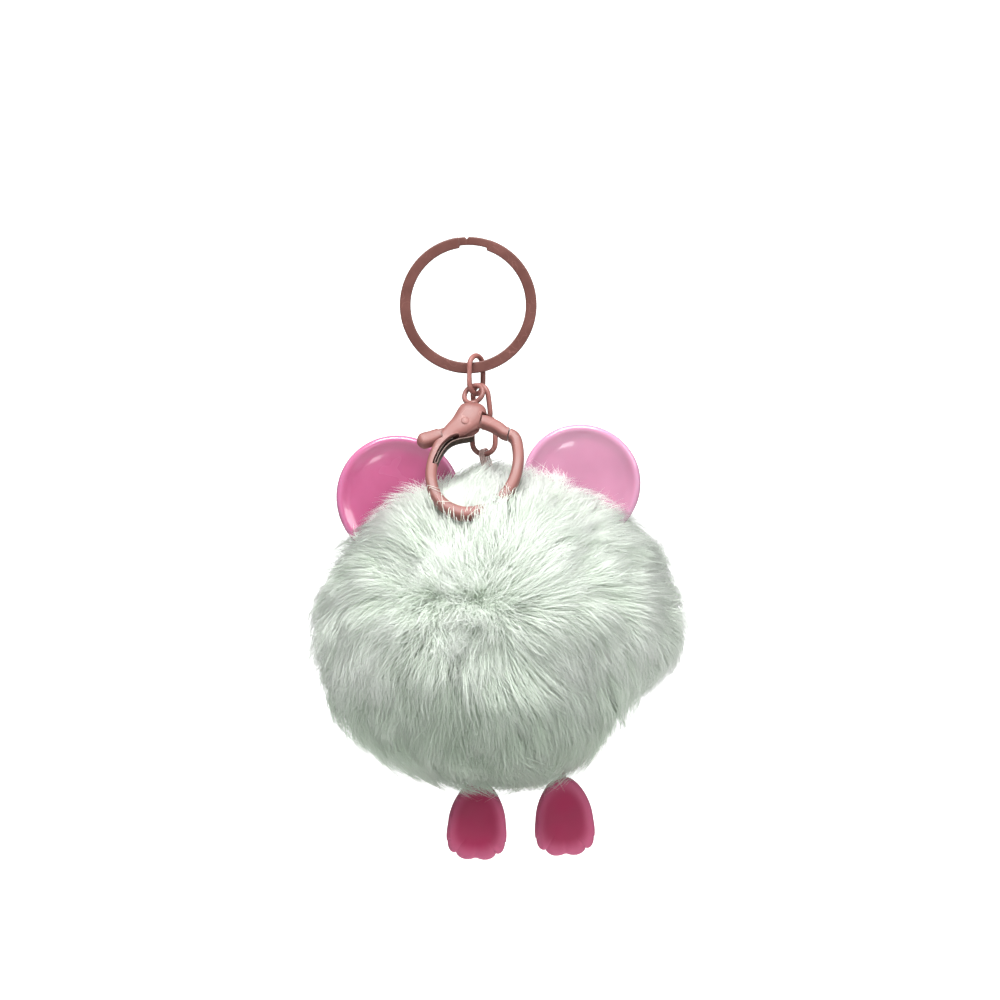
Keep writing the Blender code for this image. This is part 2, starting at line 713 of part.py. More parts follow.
def disc_height():
    """Middle of the anchor disc, close under the knit round the neck."""
    inner_r = CORE_R - KNIT_T
    return math.sqrt(inner_r**2 - DISC_R**2) - GAP - DISC_T / 2


def thread_sides():
    """Half the gap between the hanging thread's two strands, at the link and at the disc."""
    way = Vector((0.5, 0.866, 0))
    return way * (LINK_WIRE_R + GAP + THREAD_R), way * DISC_HOLE_SIDE


def anchor_disc(colour):
    middle = BALL + Vector((0, 0, disc_height()))
    half = Vector((0, 0, DISC_T / 2))
    disc = put("anchor_disc", rod_mesh("anchor_disc", middle - half, middle + half, DISC_R, 24), colour)
    for name, sign in (("disc_hole_a", 1), ("disc_hole_b", -1)):
        spot = middle + thread_sides()[1] * sign
        hole = rod_mesh(name, spot - half * 3, spot + half * 3, THREAD_R + GAP, 12)
        boolean(disc, put(name, hole, group=CUTTERS))
    return disc


def hanging_thread(colour):
    """One loop over the lower link's foot, down through the neck and the disc, knotted at both ends."""
    top_side, low_side = thread_sides()
    disc = BALL + Vector((0, 0, disc_height()))
    neck = NECK_TOP + Vector((0, 0, GAP))
    points, widths = [], []
    knot = 2.4
    for rise, width in ((-1.9, 0.3), (-1.7, knot * 0.8), (-1.2, knot), (-0.8, 1.0), (0.0, 1.0)):
        points.append(disc + low_side + Vector((0, 0, rise * MM)))
        widths.append(width)
    points += [neck + low_side, HANG + top_side + Vector((0, 0, -2.0 * MM))]
    widths += [1.0, 1.0]
    for angle in np.linspace(0, math.pi, 9):
        rise = Vector((0, 0, top_side.length * math.sin(angle)))
        points.append(HANG + top_side * math.cos(angle) + rise)
        widths.append(1.0)
    back = [HANG - top_side + Vector((0, 0, -2.0 * MM)), neck - low_side]
    for rise in (0.0, -0.8, -1.2, -1.7, -1.9):
        back.append(disc - low_side + Vector((0, 0, rise * MM)))
    points += back
    widths += [1.0, 1.0] + widths[:5][::-1]
    return wire("hanging_thread", points, THREAD_R, colour, widths=widths)


def gathering_thread(colour):
    """The thread that draws the knit together, weaving up and down round the neck."""
    radius = NECK_R + NECK_WALL + GAP + GATHER_R
    middle = BALL + Vector((0, 0, CORE_R + NECK_HEIGHT * 0.6))
    points = []
    for at in range(36):
        angle = 2 * math.pi * at / 36
        rise = 0.3 * MM * math.cos(6 * angle)
        points.append(middle + Vector((radius * math.cos(angle), radius * math.sin(angle), rise)))
    return wire("gathering_thread", points, GATHER_R, colour, closed=True, detail=1)


# ---------------------------------------------------------------- ears and feet


def ear_places():
    """Name, radius, centre, way to the core, and turn of each ear."""
    places = []
    face = Matrix.Rotation(math.radians(90), 4, "X")
    for name, radius, at in (
        ("ear_left", EAR_LEFT_R, EAR_LEFT_AT),
        ("ear_right", EAR_RIGHT_R, EAR_RIGHT_AT),
    ):
        out = Vector((math.cos(at), 0, math.sin(at)))
        near = math.sqrt((CORE_R + 2 * GAP) ** 2 - EAR_FRONT**2)
        centre = BALL + out * (near + EAR_TAB + radius) - Vector((0, EAR_FRONT, 0))
        places.append((name, radius, centre, -out, face))
    return places


def ear(place, colour):
    """A turned dished disc with a raised rim, and a flat tab with a stitching hole."""
    name, radius, centre, inward, turn = place
    half = EAR_RIM_T / 2
    profile = [
        (0.0, half - EAR_DISH),
        (radius * 0.45, half - EAR_DISH * 0.92),
        (radius * 0.78, half - EAR_DISH * 0.45),
        (radius * 0.90, half - EAR_DISH * 0.08),
        (radius * 0.955, half),
        (radius, half * 0.35),
        (radius, -half * 0.45),
        (radius * 0.955, -half),
        (0.0, -half),
    ]
    disc = turned(name, profile, 40, colour)
    disc.matrix_world = Matrix.Translation(centre) @ turn
    tab = bmesh.new()
    bmesh.ops.create_cube(tab, size=1.0)
    length = EAR_TAB + 1.6 * MM
    middle = centre + inward * (radius + EAR_TAB - length / 2)
    across = inward.cross(Vector((0, 1, 0)))
    axes = Matrix((inward, Vector((0, 1, 0)), across)).transposed().to_4x4()
    size = Matrix.Diagonal((length, EAR_TAB_T, EAR_TAB_W, 1.0))
    tab_data = finish(tab, name + "_tab", Matrix.Translation(middle) @ axes @ size)
    boolean(disc, put(name + "_tab", tab_data, group=CUTTERS), "UNION")
    spot = stitch_spot(place)
    drill = Vector((0, 2 * EAR_RIM_T, 0))
    hole = rod_mesh(name + "_hole", spot - drill, spot + drill, FOOT_THREAD_R + GAP, 12)
    boolean(disc, put(name + "_hole", hole, group=CUTTERS))
    return disc


def stitch_spot(place):
    """Middle of the stitching hole in an ear's tab."""
    radius, centre, inward = place[1:4]
    return centre + inward * (radius + EAR_TAB * EAR_HOLE_AT)


def ear_thread(place, colour):
    """A stitch through the tab's hole; both of its ends run in to the knit."""
    spot = stitch_spot(place)
    inward = place[3]
    reach = EAR_TAB_T / 2 + GAP + FOOT_THREAD_R
    ends = EAR_TAB * (1 - EAR_HOLE_AT) - GAP - FOOT_THREAD_R
    front, back = spot + Vector((0, -reach, 0)), spot + Vector((0, reach, 0))
    low = inward * ends
    points = [front + low, front + low * 0.4, front, (front + spot) / 2, spot]
    points += [(back + spot) / 2, back, back + low * 0.4, back + low * 0.8]
    return wire(place[0].replace("ear", "ear_thread"), points, FOOT_THREAD_R, colour, detail=1)


def foot_places():
    """Name, eyelet and lean of each foot."""
    low = Vector((0, -FOOT_FRONT, -PILE_Z))
    return [
        ("foot_left", BALL + low + Vector((FOOT_LEFT_X, 0, 0)), FOOT_LEANS[0]),
        ("foot_right", BALL + low + Vector((FOOT_RIGHT_X, 0, FOOT_RIGHT_RISE)), FOOT_LEANS[1]),
    ]


def paw_outline(count=44):
    """Half-width fractions of a paw: narrow shoulders, a broad sole edge and four toes."""
    points = []
    for at in range(count):
        t = 2 * math.pi * (at + 0.5) / count
        broad = (0.80 - 0.24 * math.cos(t)) / 0.862
        x = FOOT_WIDTH / 2 * math.copysign(abs(math.sin(t)) ** 0.85, math.sin(t)) * broad
        z = FOOT_HEIGHT / 2 * math.copysign(abs(math.cos(t)) ** 0.80, math.cos(t))
        toe = (t - math.radians(118)) / math.radians(124)
        if 0 <= toe <= 1:
            z -= 0.55 * MM * (abs(math.sin(4 * math.pi * toe)) - 0.9)
        points.append((x, z))
    return points


def foot(place, colour):
    """A flat-faced paw with a round edge, under an eyelet that turns on its thread."""
    name, eyelet, lean = place
    middle = Vector((0, 0, -FOOT_DROP - FOOT_HEIGHT / 2))
    turn = Matrix.Translation(eyelet) @ Matrix.Rotation(-lean, 4, "Y")
    outline = paw_outline()
    sections = []
    for depth, size in ((-1, 0.80), (-0.86, 0.93), (-0.45, 1.0), (0.45, 1.0), (0.86, 0.93), (1, 0.80)):
        row = [turn @ (middle + Vector((x * size, depth * FOOT_DEPTH / 2, z * size))) for x, z in outline]
        sections.append(row)
    paw = put(name, loft(name, sections), colour)
    neck_half = Vector((EYELET_T / 2, 0, 0))
    neck_r = FOOT_THREAD_R + GAP + EYELET_WALL
    ring = rod_mesh(name + "_eyelet", eyelet - neck_half, eyelet + neck_half, neck_r, 20)
    boolean(paw, put(name + "_eyelet", ring, group=CUTTERS), "UNION")
    stem = bmesh.new()
    bmesh.ops.create_cube(stem, size=1.0)
    length = FOOT_DROP + 1.5 * MM
    centre = turn @ Vector((0, 0, -length / 2 - neck_r * 0.75))
    size = Matrix.Diagonal((EYELET_T, STEM_W, length, 1.0))
    stem_turn = Matrix.Rotation(-lean, 4, "Y")
    stem_data = finish(stem, name + "_stem", Matrix.Translation(centre) @ stem_turn @ size)
    boolean(paw, put(name + "_stem", stem_data, group=CUTTERS), "UNION")
    hole = rod_mesh(name + "_hole", eyelet - neck_half * 3, eyelet + neck_half * 3, FOOT_THREAD_R + GAP, 12)
    boolean(paw, put(name + "_hole", hole, group=CUTTERS))
    return paw


def foot_thread_top(eyelet):
    """Where a foot's thread meets the knit above it."""
    away = eyelet - BALL
    flat = away.x**2 + away.y**2
    room = CORE_R + GAP + FOOT_THREAD_R + 0.35 * MM
    return Vector((eyelet.x, eyelet.y, BALL.z - math.sqrt(room**2 - flat)))


def foot_thread(place, colour):
    """A closed loop from the eyelet up to the knit."""
    name, eyelet = place[:2]
    half = EYELET_T / 2 + GAP + FOOT_THREAD_R
    top = foot_thread_top(eyelet)
    points = [
        eyelet,
        eyelet + Vector((half * 0.75, 0, 0.15 * MM)),
        eyelet + Vector((half, 0, 0.9 * MM)),
        top + Vector((half, 0, -1.6 * MM)),
        top + Vector((half * 0.6, 0, -0.6 * MM)),
        top + Vector((0, 0, -0.4 * MM)),
        top + Vector((-half * 0.6, 0, -0.6 * MM)),
        top + Vector((-half, 0, -1.6 * MM)),
        eyelet + Vector((-half, 0, 0.9 * MM)),
        eyelet + Vector((-half * 0.75, 0, 0.15 * MM)),
    ]
    return wire(name.replace("foot", "foot_thread"), points, FOOT_THREAD_R, colour, closed=True, detail=1)


# ---------------------------------------------------------------- assembly


def build():
    ring_paint = material("ring_paint", srgb(150, 98, 92), 0.42, 0.35)
    clasp_paint = material("clasp_paint", srgb(203, 150, 145), 0.25, 0.35)
    spring_steel = material("spring_steel", srgb(190, 190, 188), 0.3, 1.0)
    thread_white = material("thread_white", srgb(232, 222, 222), 0.6)
    fur = material("fur", srgb(214, 226, 212), 0.95)
    knit = material("knit", srgb(206, 214, 204), 0.95)
    fibre = material("fibre", srgb(244, 244, 242), 0.95)
    nylon = material("nylon", srgb(238, 238, 234), 0.5)
    ear_soft = material("ear_pvc", srgb(226, 135, 178), 0.3)
    foot_soft = material("foot_pvc", srgb(164, 62, 100), 0.5)

    split_ring(ring_paint)
    links = []
    for name, (top, foot_end), turn in (
        ("link_upper", UPPER, LINK_UPPER_TURN),
        ("link_middle", MIDDLE, LINK_MIDDLE_TURN),
        ("link_lower", LOWER, LINK_LOWER_TURN),
    ):
        points = link_points(top, foot_end, turn)
        links.append(wire(name, points, LINK_WIRE_R, clasp_paint, closed=True))

    eye = swivel_eye(clasp_paint)
    body = clasp_body(clasp_paint)
    lever = clasp_gate_lever(clasp_paint)
    pin = clasp_pin(clasp_paint)
    pin.matrix_world = Matrix.Translation(pivot_point()) @ clasp_matrix().to_3x3().to_4x4()
    spring = clasp_spring(spring_steel)

    ears = ear_places()
    feet = foot_places()
    soft = [fur_pile(fur, ears, feet), fur_backing(knit), filling(fibre), anchor_disc(nylon)]
    soft += [hanging_thread(thread_white), gathering_thread(thread_white)]
    for place in ears:
        soft += [ear(place, ear_soft), ear_thread(place, thread_white)]
    paws = [foot(place, foot_soft) for place in feet]
    soft += [foot_thread(place, thread_white) for place in feet]

    upper = carry([links[0]], "pivot_link_upper", RING_CENTRE)
    clasp_swing = carry([eye], "pivot_clasp", CLASP_SWING, upper)
    swivel = carry([body, pin, spring], "pivot_swivel", EYE_CENTRE, clasp_swing)
    carry([lever], "pivot_gate", pivot_point(), swivel)
    middle = carry([links[1]], "pivot_link_middle", MIDDLE[0], upper)
    lower = carry([links[2]], "pivot_link_lower", LOWER[0], middle)
    ball = carry(soft, "pivot_ball", HANG, lower)
    for paw, (name, eyelet, _) in zip(paws, feet):
        carry([paw], "pivot_" + name, eyelet, ball)


build()
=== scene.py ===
"""Looks of a plush keychain: a combed fur ball with soft plastic ears and feet, hung by a short chain
from a split ring, with a lobster clasp beside it. Metres throughout, +Z up, the front faces -Y.

Each class holds one sub-assembly: its sizes are fields, its methods build meshes as whole numpy arrays
and dress them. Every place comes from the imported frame's joints and boxes.
"""
import json
import logging
import math
from dataclasses import dataclass
from enum import Enum

import bpy
import numpy as np
from mathutils import Matrix, Vector


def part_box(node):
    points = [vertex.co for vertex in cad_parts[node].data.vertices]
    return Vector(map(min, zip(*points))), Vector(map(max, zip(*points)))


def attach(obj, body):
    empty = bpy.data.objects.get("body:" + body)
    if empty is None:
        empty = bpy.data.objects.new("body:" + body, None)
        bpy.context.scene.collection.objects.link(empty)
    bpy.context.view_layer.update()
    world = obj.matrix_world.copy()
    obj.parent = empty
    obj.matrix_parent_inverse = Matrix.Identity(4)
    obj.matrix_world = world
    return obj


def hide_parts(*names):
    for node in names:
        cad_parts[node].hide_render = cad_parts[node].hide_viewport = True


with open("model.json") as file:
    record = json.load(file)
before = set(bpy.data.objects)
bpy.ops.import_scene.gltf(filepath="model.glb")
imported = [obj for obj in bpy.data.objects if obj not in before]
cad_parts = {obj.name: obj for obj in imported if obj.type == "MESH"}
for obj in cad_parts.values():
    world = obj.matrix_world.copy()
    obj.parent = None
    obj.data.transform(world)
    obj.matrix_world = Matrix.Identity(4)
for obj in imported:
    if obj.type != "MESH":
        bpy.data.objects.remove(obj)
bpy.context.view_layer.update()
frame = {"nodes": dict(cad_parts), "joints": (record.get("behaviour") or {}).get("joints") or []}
LOG = logging.getLogger("keychain")
MM = 0.001
Array = np.ndarray
Thing = bpy.types.Object
Socket = bpy.types.NodeSocket
Value = float | tuple | Socket
FULL_TURN = 2 * math.pi
JOINTS = {joint["name"]: joint for joint in frame["joints"]}


def corners_of(node: str) -> tuple[Array, Array]:
    """A CAD node's lowest and highest corner."""
    low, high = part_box(node)
    return np.array(low), np.array(high)


def ball_middle() -> Array:
    """The knit ball's middle: on its box's middle line, half its width above its foot."""
    low, high = corners_of("fur_backing")
    middle = (low + high) / 2
    middle[2] = low[2] + (high[0] - low[0]) / 2
    return middle


def place_of(joint: str) -> Array:
    """Where a joint's axis passes, in metres."""
    return np.array(JOINTS[joint]["pos_m"], float)


def axis_of(joint: str) -> Array:
    """A joint's axis as a unit vector."""
    axis = np.array(JOINTS[joint]["axis"], float)
    return axis / np.linalg.norm(axis)


BALL = ball_middle()


# ------------------------------------------------------------------ arrays


def turns(count: int) -> Array:
    """Even angles once round, from 0."""
    return np.linspace(0, FULL_TURN, count, endpoint=False)


def unit(vectors: Array) -> Array:
    """Vectors over their own length.

    Args:
        vectors: any array whose last axis is x, y, z.

    Returns:
        The same array, each vector one long.
    """
    length = np.linalg.norm(vectors, axis=-1, keepdims=True)
    return vectors / np.maximum(length, 1e-12)


def smoothstep(low: float, high: float, values: Array) -> Array:
    """0 below low, 1 above high, and 3t^2 - 2t^3 between them."""
    t = np.clip((values - low) / (high - low), 0, 1)
    return t * t * (3 - 2 * t)


def smooth_line(points: Array, where: Array) -> Array:
    """Catmull-Rom curve through points, read at even steps of its run.

    Each stretch is half of 2b + (c-a)t + (2a-5b+4c-d)t^2 + (3b-a-3c+d)t^3.

    Args:
        points: control rows; the first two or three columns are the place, the rest ride along.
        where: shares of the run, 0 to 1.

    Returns:
        One row for each share.
    """
    ends = np.vstack([2 * points[0] - points[1], points, 2 * points[-1] - points[-2]])
    a, b, c, d = (ends[k : k + len(points) - 1, None, :] for k in range(4))
    t = np.linspace(0, 1, 32, endpoint=False)[None, :, None]
    rows = 2 * b + (c - a) * t + (2 * a - 5 * b + 4 * c - d) * t**2 + (3 * b - a - 3 * c + d) * t**3
    rows = np.vstack([rows.reshape(-1, points.shape[1]) / 2, points[-1:]])
    run = np.r_[0, np.cumsum(np.linalg.norm(np.diff(rows[:, :2], axis=0), axis=1))]
    return np.column_stack([np.interp(where * run[-1], run, column) for column in rows.T])


def soft_noise(places: Array, wave: float, seed: int, terms: int = 14) -> Array:
    """A smooth random field: the mean of sines along seeded random directions.

    Args:
        places: x, y, z rows in metres.
        wave: the field's typical wavelength in metres.
        seed: chooses the directions and phases.
        terms: how many sines are summed.

    Returns:
        One value a row, mostly between -1 and 1.
    """
    rng = np.random.default_rng(seed)
    ways = rng.normal(size=(3, terms)) * (2 * math.pi / wave) / math.sqrt(3)
    phase = rng.uniform(0, 2 * math.pi, terms)
    return np.sin(places @ ways + phase).sum(-1) * math.sqrt(2 / terms)


# ------------------------------------------------------------------ meshes


def mesh_object(
    name: str, points: Array, faces: list[Array], marks: dict[str, Array] | None = None
) -> Thing:
    """A smooth-shaded mesh object from arrays.

    Args:
        name: the piece's name.
        points: x, y, z rows.
        faces: index arrays, each of rows with an equal number of corners.
        marks: named values, one for each point, kept as attributes for the material.

    Returns:
        The linked object, at the origin.
    """
    data = bpy.data.meshes.new(name)
    sizes = np.concatenate([np.full(len(part), part.shape[1]) for part in faces])
    corners = np.concatenate([part.ravel() for part in faces])
    data.vertices.add(len(points))
    data.vertices.foreach_set("co", np.ascontiguousarray(points, np.float32).ravel())
    data.loops.add(len(corners))
    data.loops.foreach_set("vertex_index", corners.astype(np.int32))
    data.polygons.add(len(sizes))
    data.polygons.foreach_set("loop_start", np.r_[0, np.cumsum(sizes)[:-1]].astype(np.int32))
    data.polygons.foreach_set("use_smooth", np.ones(len(sizes), bool))
    for mark, values in (marks or {}).items():
        layer = data.attributes.new(mark, "FLOAT", "POINT")
        layer.data.foreach_set("value", np.ascontiguousarray(values, np.float32).ravel())
    data.update(calc_edges=True)
    data.validate()
    made = bpy.data.objects.new(name, data)
    bpy.context.scene.collection.objects.link(made)
    return made


def skin(rows: int, count: int, closed: bool, start: int = 0) -> list[Array]:
    """Faces over a grid of rows of points that each run round in a ring.

    Args:
        rows: how many rings.
        count: points in a ring.
        closed: whether the last ring joins the first; otherwise both ends get a flat cap.
        start: index of the first point.

    Returns:
        A list of face index arrays whose normals point away from the rings' middles.
    """
    low = np.arange(rows if closed else rows - 1)[:, None]
    at = np.arange(count)[None, :]
    ahead, beside = (low + 1) % rows, (at + 1) % count
    quads = np.stack(
        [low * count + at, low * count + beside, ahead * count + beside, ahead * count + at], axis=-1
    )
    faces = [quads.reshape(-1, 4) + start]
    if not closed:
        faces.append(np.arange(count)[None, ::-1] + start)
        faces.append(np.arange(count)[None, :] + (rows - 1) * count + start)
    return faces


def carried_frames(line: Array, closed: bool) -> tuple[Array, Array, Array]:
    """Ahead, side and up vectors along a line, turned as little as possible from one to the next.

    Args:
        line: the points of the line.
        closed: whether it runs back into itself.

    Returns:
        Three arrays of unit vectors.
    """
    ahead = np.roll(line, -1, 0) - np.roll(line, 1, 0) if closed else np.gradient(line, axis=0)
    ahead = unit(ahead)
    guess = np.array((0.0, 0.0, 1.0)) if abs(ahead[0, 2]) < 0.9 else np.array((1.0, 0.0, 0.0))
    side = np.empty_like(line)
    side[0] = unit(np.cross(ahead[0], guess))
    for at in range(1, len(line)):
        side[at] = unit(side[at - 1] - ahead[at] * (side[at - 1] @ ahead[at]))
    up = np.cross(side, ahead)
    if closed:
        last = unit(side[-1] - ahead[0] * (side[-1] @ ahead[0]))
        twist = math.atan2(last @ up[0], last @ side[0])
        turn = -twist * np.linspace(0, 1, len(line), endpoint=False)[:, None]
        side, up = side * np.cos(turn) + up * np.sin(turn), up * np.cos(turn) - side * np.sin(turn)
    return ahead, side, up


def tube_points(line: Array, radius: float | Array, sides: int, closed: bool) -> Array:
    """Rings of a round tube: the line's point plus radius times (cos side + sin up)."""
    _, side, up = carried_frames(line, closed)
    angle = turns(sides)
    radius = np.broadcast_to(np.asarray(radius, float), (len(line),))[:, None, None]
    wheel = np.cos(angle)[None, :, None] * side[:, None] + np.sin(angle)[None, :, None] * up[:, None]
    return line[:, None] + radius * wheel


def tubes(
    name: str, lines: list[Array], radius: float | Array, sides: int = 16, closed: bool = False
) -> Thing:
    """One object of several round tubes.

    Args:
        name: the piece's name.
        lines: the middle line of each.
        radius: one radius, or one for each point of every line.
        sides: points round each.
        closed: whether the lines run back into themselves.

    Returns:
        The object.
    """
    points, faces, start = [], [], 0
    for line in lines:
        rings = tube_points(line, radius, sides, closed)
        points.append(rings.reshape(-1, 3))
        faces += skin(len(line), sides, closed, start)
        start += rings.shape[0] * sides
    return outward(mesh_object(name, np.vstack(points), by_size(faces)))


def by_size(faces: list[Array]) -> list[Array]:
    """Face arrays of the same number of corners joined into one array each."""
    sizes = sorted({part.shape[1] for part in faces})
    return [np.vstack([part for part in faces if part.shape[1] == size]) for size in sizes]


def outward(made: Thing) -> Thing:
    """Turn a closed mesh's faces outwards, if its volume says that they point in.

    Args:
        made: the object.

    Returns:
        The same object.
    """
    data = made.data
    data.calc_loop_triangles()
    count = len(data.loop_triangles)
    corners = np.empty(count * 3, np.int32)
    data.loop_triangles.foreach_get("vertices", corners)
    places = np.empty(len(data.vertices) * 3, np.float32)
    data.vertices.foreach_get("co", places)
    a, b, c = places.reshape(-1, 3)[corners.reshape(-1, 3)].astype(float).transpose(1, 0, 2)
    if np.einsum("ij,ij->", a, np.cross(b, c)) < 0:
        data.flip_normals()
    return made


def ringed(name: str, rings: Array, marks: dict[str, Array] | None = None, sharp: float = 180.0) -> Thing:
    """A closed mesh over rings of points, capped at both ends, facing outwards.

    Args:
        name: the piece's name.
        rings: points, indexed ring then point.
        marks: named values, one for each point.
        sharp: degrees between two faces above which their edge stays sharp.

    Returns:
        The object.
    """
    faces = by_size(skin(*rings.shape[:2], False))
    made = outward(mesh_object(name, rings.reshape(-1, 3), faces, marks))
    if sharp < 180:
        made.data.set_sharp_from_angle(angle=math.radians(sharp))
    return made


def rounded_section(width: Array, depth: Array, count: int, power: float = 0.6) -> tuple[Array, Array]:
    """Rounded-box sections: half sizes times the signed power of cosine and sine.

    Args:
        width: size across, one for each station.
        depth: size out of the plane, one for each station.
        count: points round a section.
        power: 1 is an ellipse, and less is nearer a box.

    Returns:
        Across and out offsets, a row for each station.
    """
    angle = 2 * math.pi * (np.arange(count) + 0.5) / count
    across = np.sign(np.cos(angle)) * np.abs(np.cos(angle)) ** power
    out = np.sign(np.sin(angle)) * np.abs(np.sin(angle)) ** power
    return width[:, None] / 2 * across, depth[:, None] / 2 * out


def apply_cuts(made: Thing, cutters: list, unions: list = ()) -> Thing:
    """Cut and join closed meshes, keep the result, and remove the tools.

    Args:
        made: the object that keeps its name.
        cutters: objects taken away from it.
        unions: objects joined to it.

    Returns:
        The same object with its new mesh.
    """
    for operation, tools in (("UNION", unions), ("DIFFERENCE", cutters)):
        for tool in tools:
            step = made.modifiers.new(operation.title(), "BOOLEAN")
            step.operation = operation
            step.solver = "EXACT"
            step.object = tool
    bpy.context.view_layer.update()
    seen = made.evaluated_get(bpy.context.evaluated_depsgraph_get())
    made.modifiers.clear()
    data = bpy.data.meshes.new_from_object(seen)
    made.data = data
    for tool in (*cutters, *unions):
        bpy.data.objects.remove(tool, do_unlink=True)
    data.shade_smooth()
    data.set_sharp_from_angle(angle=math.radians(38))
    return made


def rod(name: str, start: Array, end: Array, radius: float, sides: int = 32) -> Thing:
    """A straight capped rod between two points."""
    return tubes(name, [np.linspace(start, end, 2)], radius, sides)


# ------------------------------------------------------------------ materials


class Nodes:
    """Adds and links nodes in one tree."""

    def __init__(self, tree: bpy.types.NodeTree) -> None:
        """Keep the tree."""
        self.tree = tree

    def add(self, kind: str, inputs: dict | None = None, **settings) -> bpy.types.Node:
        """A node, with socket values or links by name and settings by name.

        Args:
            kind: the node's type.
            inputs: socket name or number to a value, or to an output socket to link.
            settings: the node's own properties.

        Returns:
            The node.
        """
        made = self.tree.nodes.new(kind)
        for key, value in settings.items():
            setattr(made, key, value)
        return self.fill(made, inputs or {})

    def fill(self, made: bpy.types.Node, inputs: dict) -> bpy.types.Node:
        """Set or link a node's input sockets, and return the node."""
        for key, value in inputs.items():
            if isinstance(value, bpy.types.NodeSocket):
                self.tree.links.new(value, made.inputs[key])
            else:
                made.inputs[key].default_value = value
        return made

    def surface(self, plain: tuple, inputs: dict) -> None:
        """Set the Principled shader's sockets, over a plain base colour kept as the socket's own value."""
        shader = self.tree.nodes["Principled BSDF"]
        shader.inputs["Base Color"].default_value = plain
        self.fill(shader, inputs)

    def math(self, operation: str, first: Value, second: Value = 0.0) -> Socket:
        """A math node's output socket."""
        return self.add("ShaderNodeMath", {0: first, 1: second}, operation=operation).outputs[0]

    def mix(self, share: Value, first: Value, second: Value) -> Socket:
        """A colour mix's output socket: first where share is 0, second where it is 1."""
        return self.add("ShaderNodeMix", {0: share, 6: first, 7: second}, data_type="RGBA").outputs[2]

    def ramp(self, share: Value, low: float, high: float) -> Socket:
        """A share clamped and spread so that low gives 0 and high gives 1."""
        inputs = {0: share, 1: low, 2: high, 3: 0.0, 4: 1.0}
        return self.add("ShaderNodeMapRange", inputs, clamp=True).outputs[0]

    def spread(self, share: Value, low: float, high: float) -> Socket:
        """A value from low to high as the share goes from 0 to 1."""
        return self.add("ShaderNodeMapRange", {0: share, 3: low, 4: high}).outputs[0]

    def place(self) -> Socket:
        """The object coordinates' socket."""
        return self.add("ShaderNodeTexCoord").outputs["Object"]

    def noise(self, spot: Value, scale: Value, detail: float) -> Socket:
        """A noise texture's value socket."""
        inputs = {"Vector": spot, "Scale": scale, "Detail": detail}
        return self.add("ShaderNodeTexNoise", inputs).outputs["Fac"]

    def grain(self, scale: float = 800.0, mottle: float = 90.0) -> tuple[Socket, Socket]:
        """The fine grain group's height and mottle sockets."""
        inputs = {"Scale": scale, "Mottle Scale": mottle}
        node = self.add("ShaderNodeGroup", inputs, node_tree=GROUPS["grain"])
        return node.outputs["Height"], node.outputs["Mottle"]

    def bump(self, height: Value, strength: float, distance: float) -> Socket:
        """A bump's normal socket."""
        inputs = {"Height": height, "Strength": strength, "Distance": distance}
        return self.add("ShaderNodeBump", inputs).outputs[0]

    def attribute(self, name: str) -> Socket:
        """A mesh attribute's value socket."""
        return self.add("ShaderNodeAttribute", attribute_name=name).outputs["Fac"]


def srgb(red: float, green: float, blue: float) -> tuple[float, float, float, float]:
    """A screen colour, 0 to 255, as the linear value a shader takes."""
    parts = [v / 255 for v in (red, green, blue)]
    return (*[v / 12.92 if v <= 0.04045 else ((v + 0.055) / 1.055) ** 2.4 for v in parts], 1.0)


def shaded(colour: tuple, *parts: float) -> tuple[float, float, float, float]:
    """A colour with its red, green and blue each times a part, or all times the one part given."""
    return (*[v * part for v, part in zip(colour, parts * 3 if len(parts) == 1 else parts)], 1.0)


def group(
    name: str, inputs: dict[str, float], outputs: tuple[str, ...]
) -> tuple[bpy.types.NodeTree, bpy.types.Node, bpy.types.Node]:
    """An empty shader node group with float sockets.

    Args:
        name: the group's name.
        inputs: socket name to its default.
        outputs: names of the float outputs.

    Returns:
        The tree, its input node and its output node.
    """
    tree = bpy.data.node_groups.new(name, "ShaderNodeTree")
    for label, value in inputs.items():
        socket = tree.interface.new_socket(label, in_out="INPUT", socket_type="NodeSocketFloat")
        socket.default_value = value
    for label in outputs:
        tree.interface.new_socket(label, in_out="OUTPUT", socket_type="NodeSocketFloat")
    return tree, tree.nodes.new("NodeGroupInput"), tree.nodes.new("NodeGroupOutput")


def grain_group() -> bpy.types.NodeTree:
    """Fine grain: two octaves of noise on object coordinates, as a height and a mottle mask."""
    tree, given, out = group("fine_grain", {"Scale": 800.0, "Mottle Scale": 90.0}, ("Height", "Mottle"))
    nodes = Nodes(tree)
    spot = nodes.place()
    tree.links.new(nodes.noise(spot, given.outputs["Scale"], 3.0), out.inputs["Height"])
    broad = nodes.noise(spot, given.outputs["Mottle Scale"], 2.0)
    tree.links.new(nodes.ramp(broad, 0.3, 0.7), out.inputs["Mottle"])
    return tree


def scratch_group() -> bpy.types.NodeTree:
    """Hairline scratches: stretched noise, sharpened to thin lines, thinned by a second noise."""
    tree, given, out = group("hairlines", {"Scale": 400.0, "Amount": 0.5}, ("Mask",))
    nodes = Nodes(tree)
    spot = nodes.place()
    inputs = {"Vector": spot, "Rotation": (0.5, 0.9, 0.3), "Scale": (1.0, 0.12, 1.0)}
    stretched = nodes.add("ShaderNodeMapping", inputs).outputs[0]
    lines = nodes.noise(stretched, given.outputs["Scale"], 1.0)
    edge = nodes.math("ABSOLUTE", nodes.math("SUBTRACT", lines, 0.5))
    patch = nodes.noise(spot, 120.0, 1.0)
    kept = nodes.math("MULTIPLY", nodes.ramp(edge, 0.012, 0.0), nodes.ramp(patch, 0.45, 0.6))
    tree.links.new(nodes.math("MULTIPLY", kept, given.outputs["Amount"]), out.inputs["Mask"])
    return tree


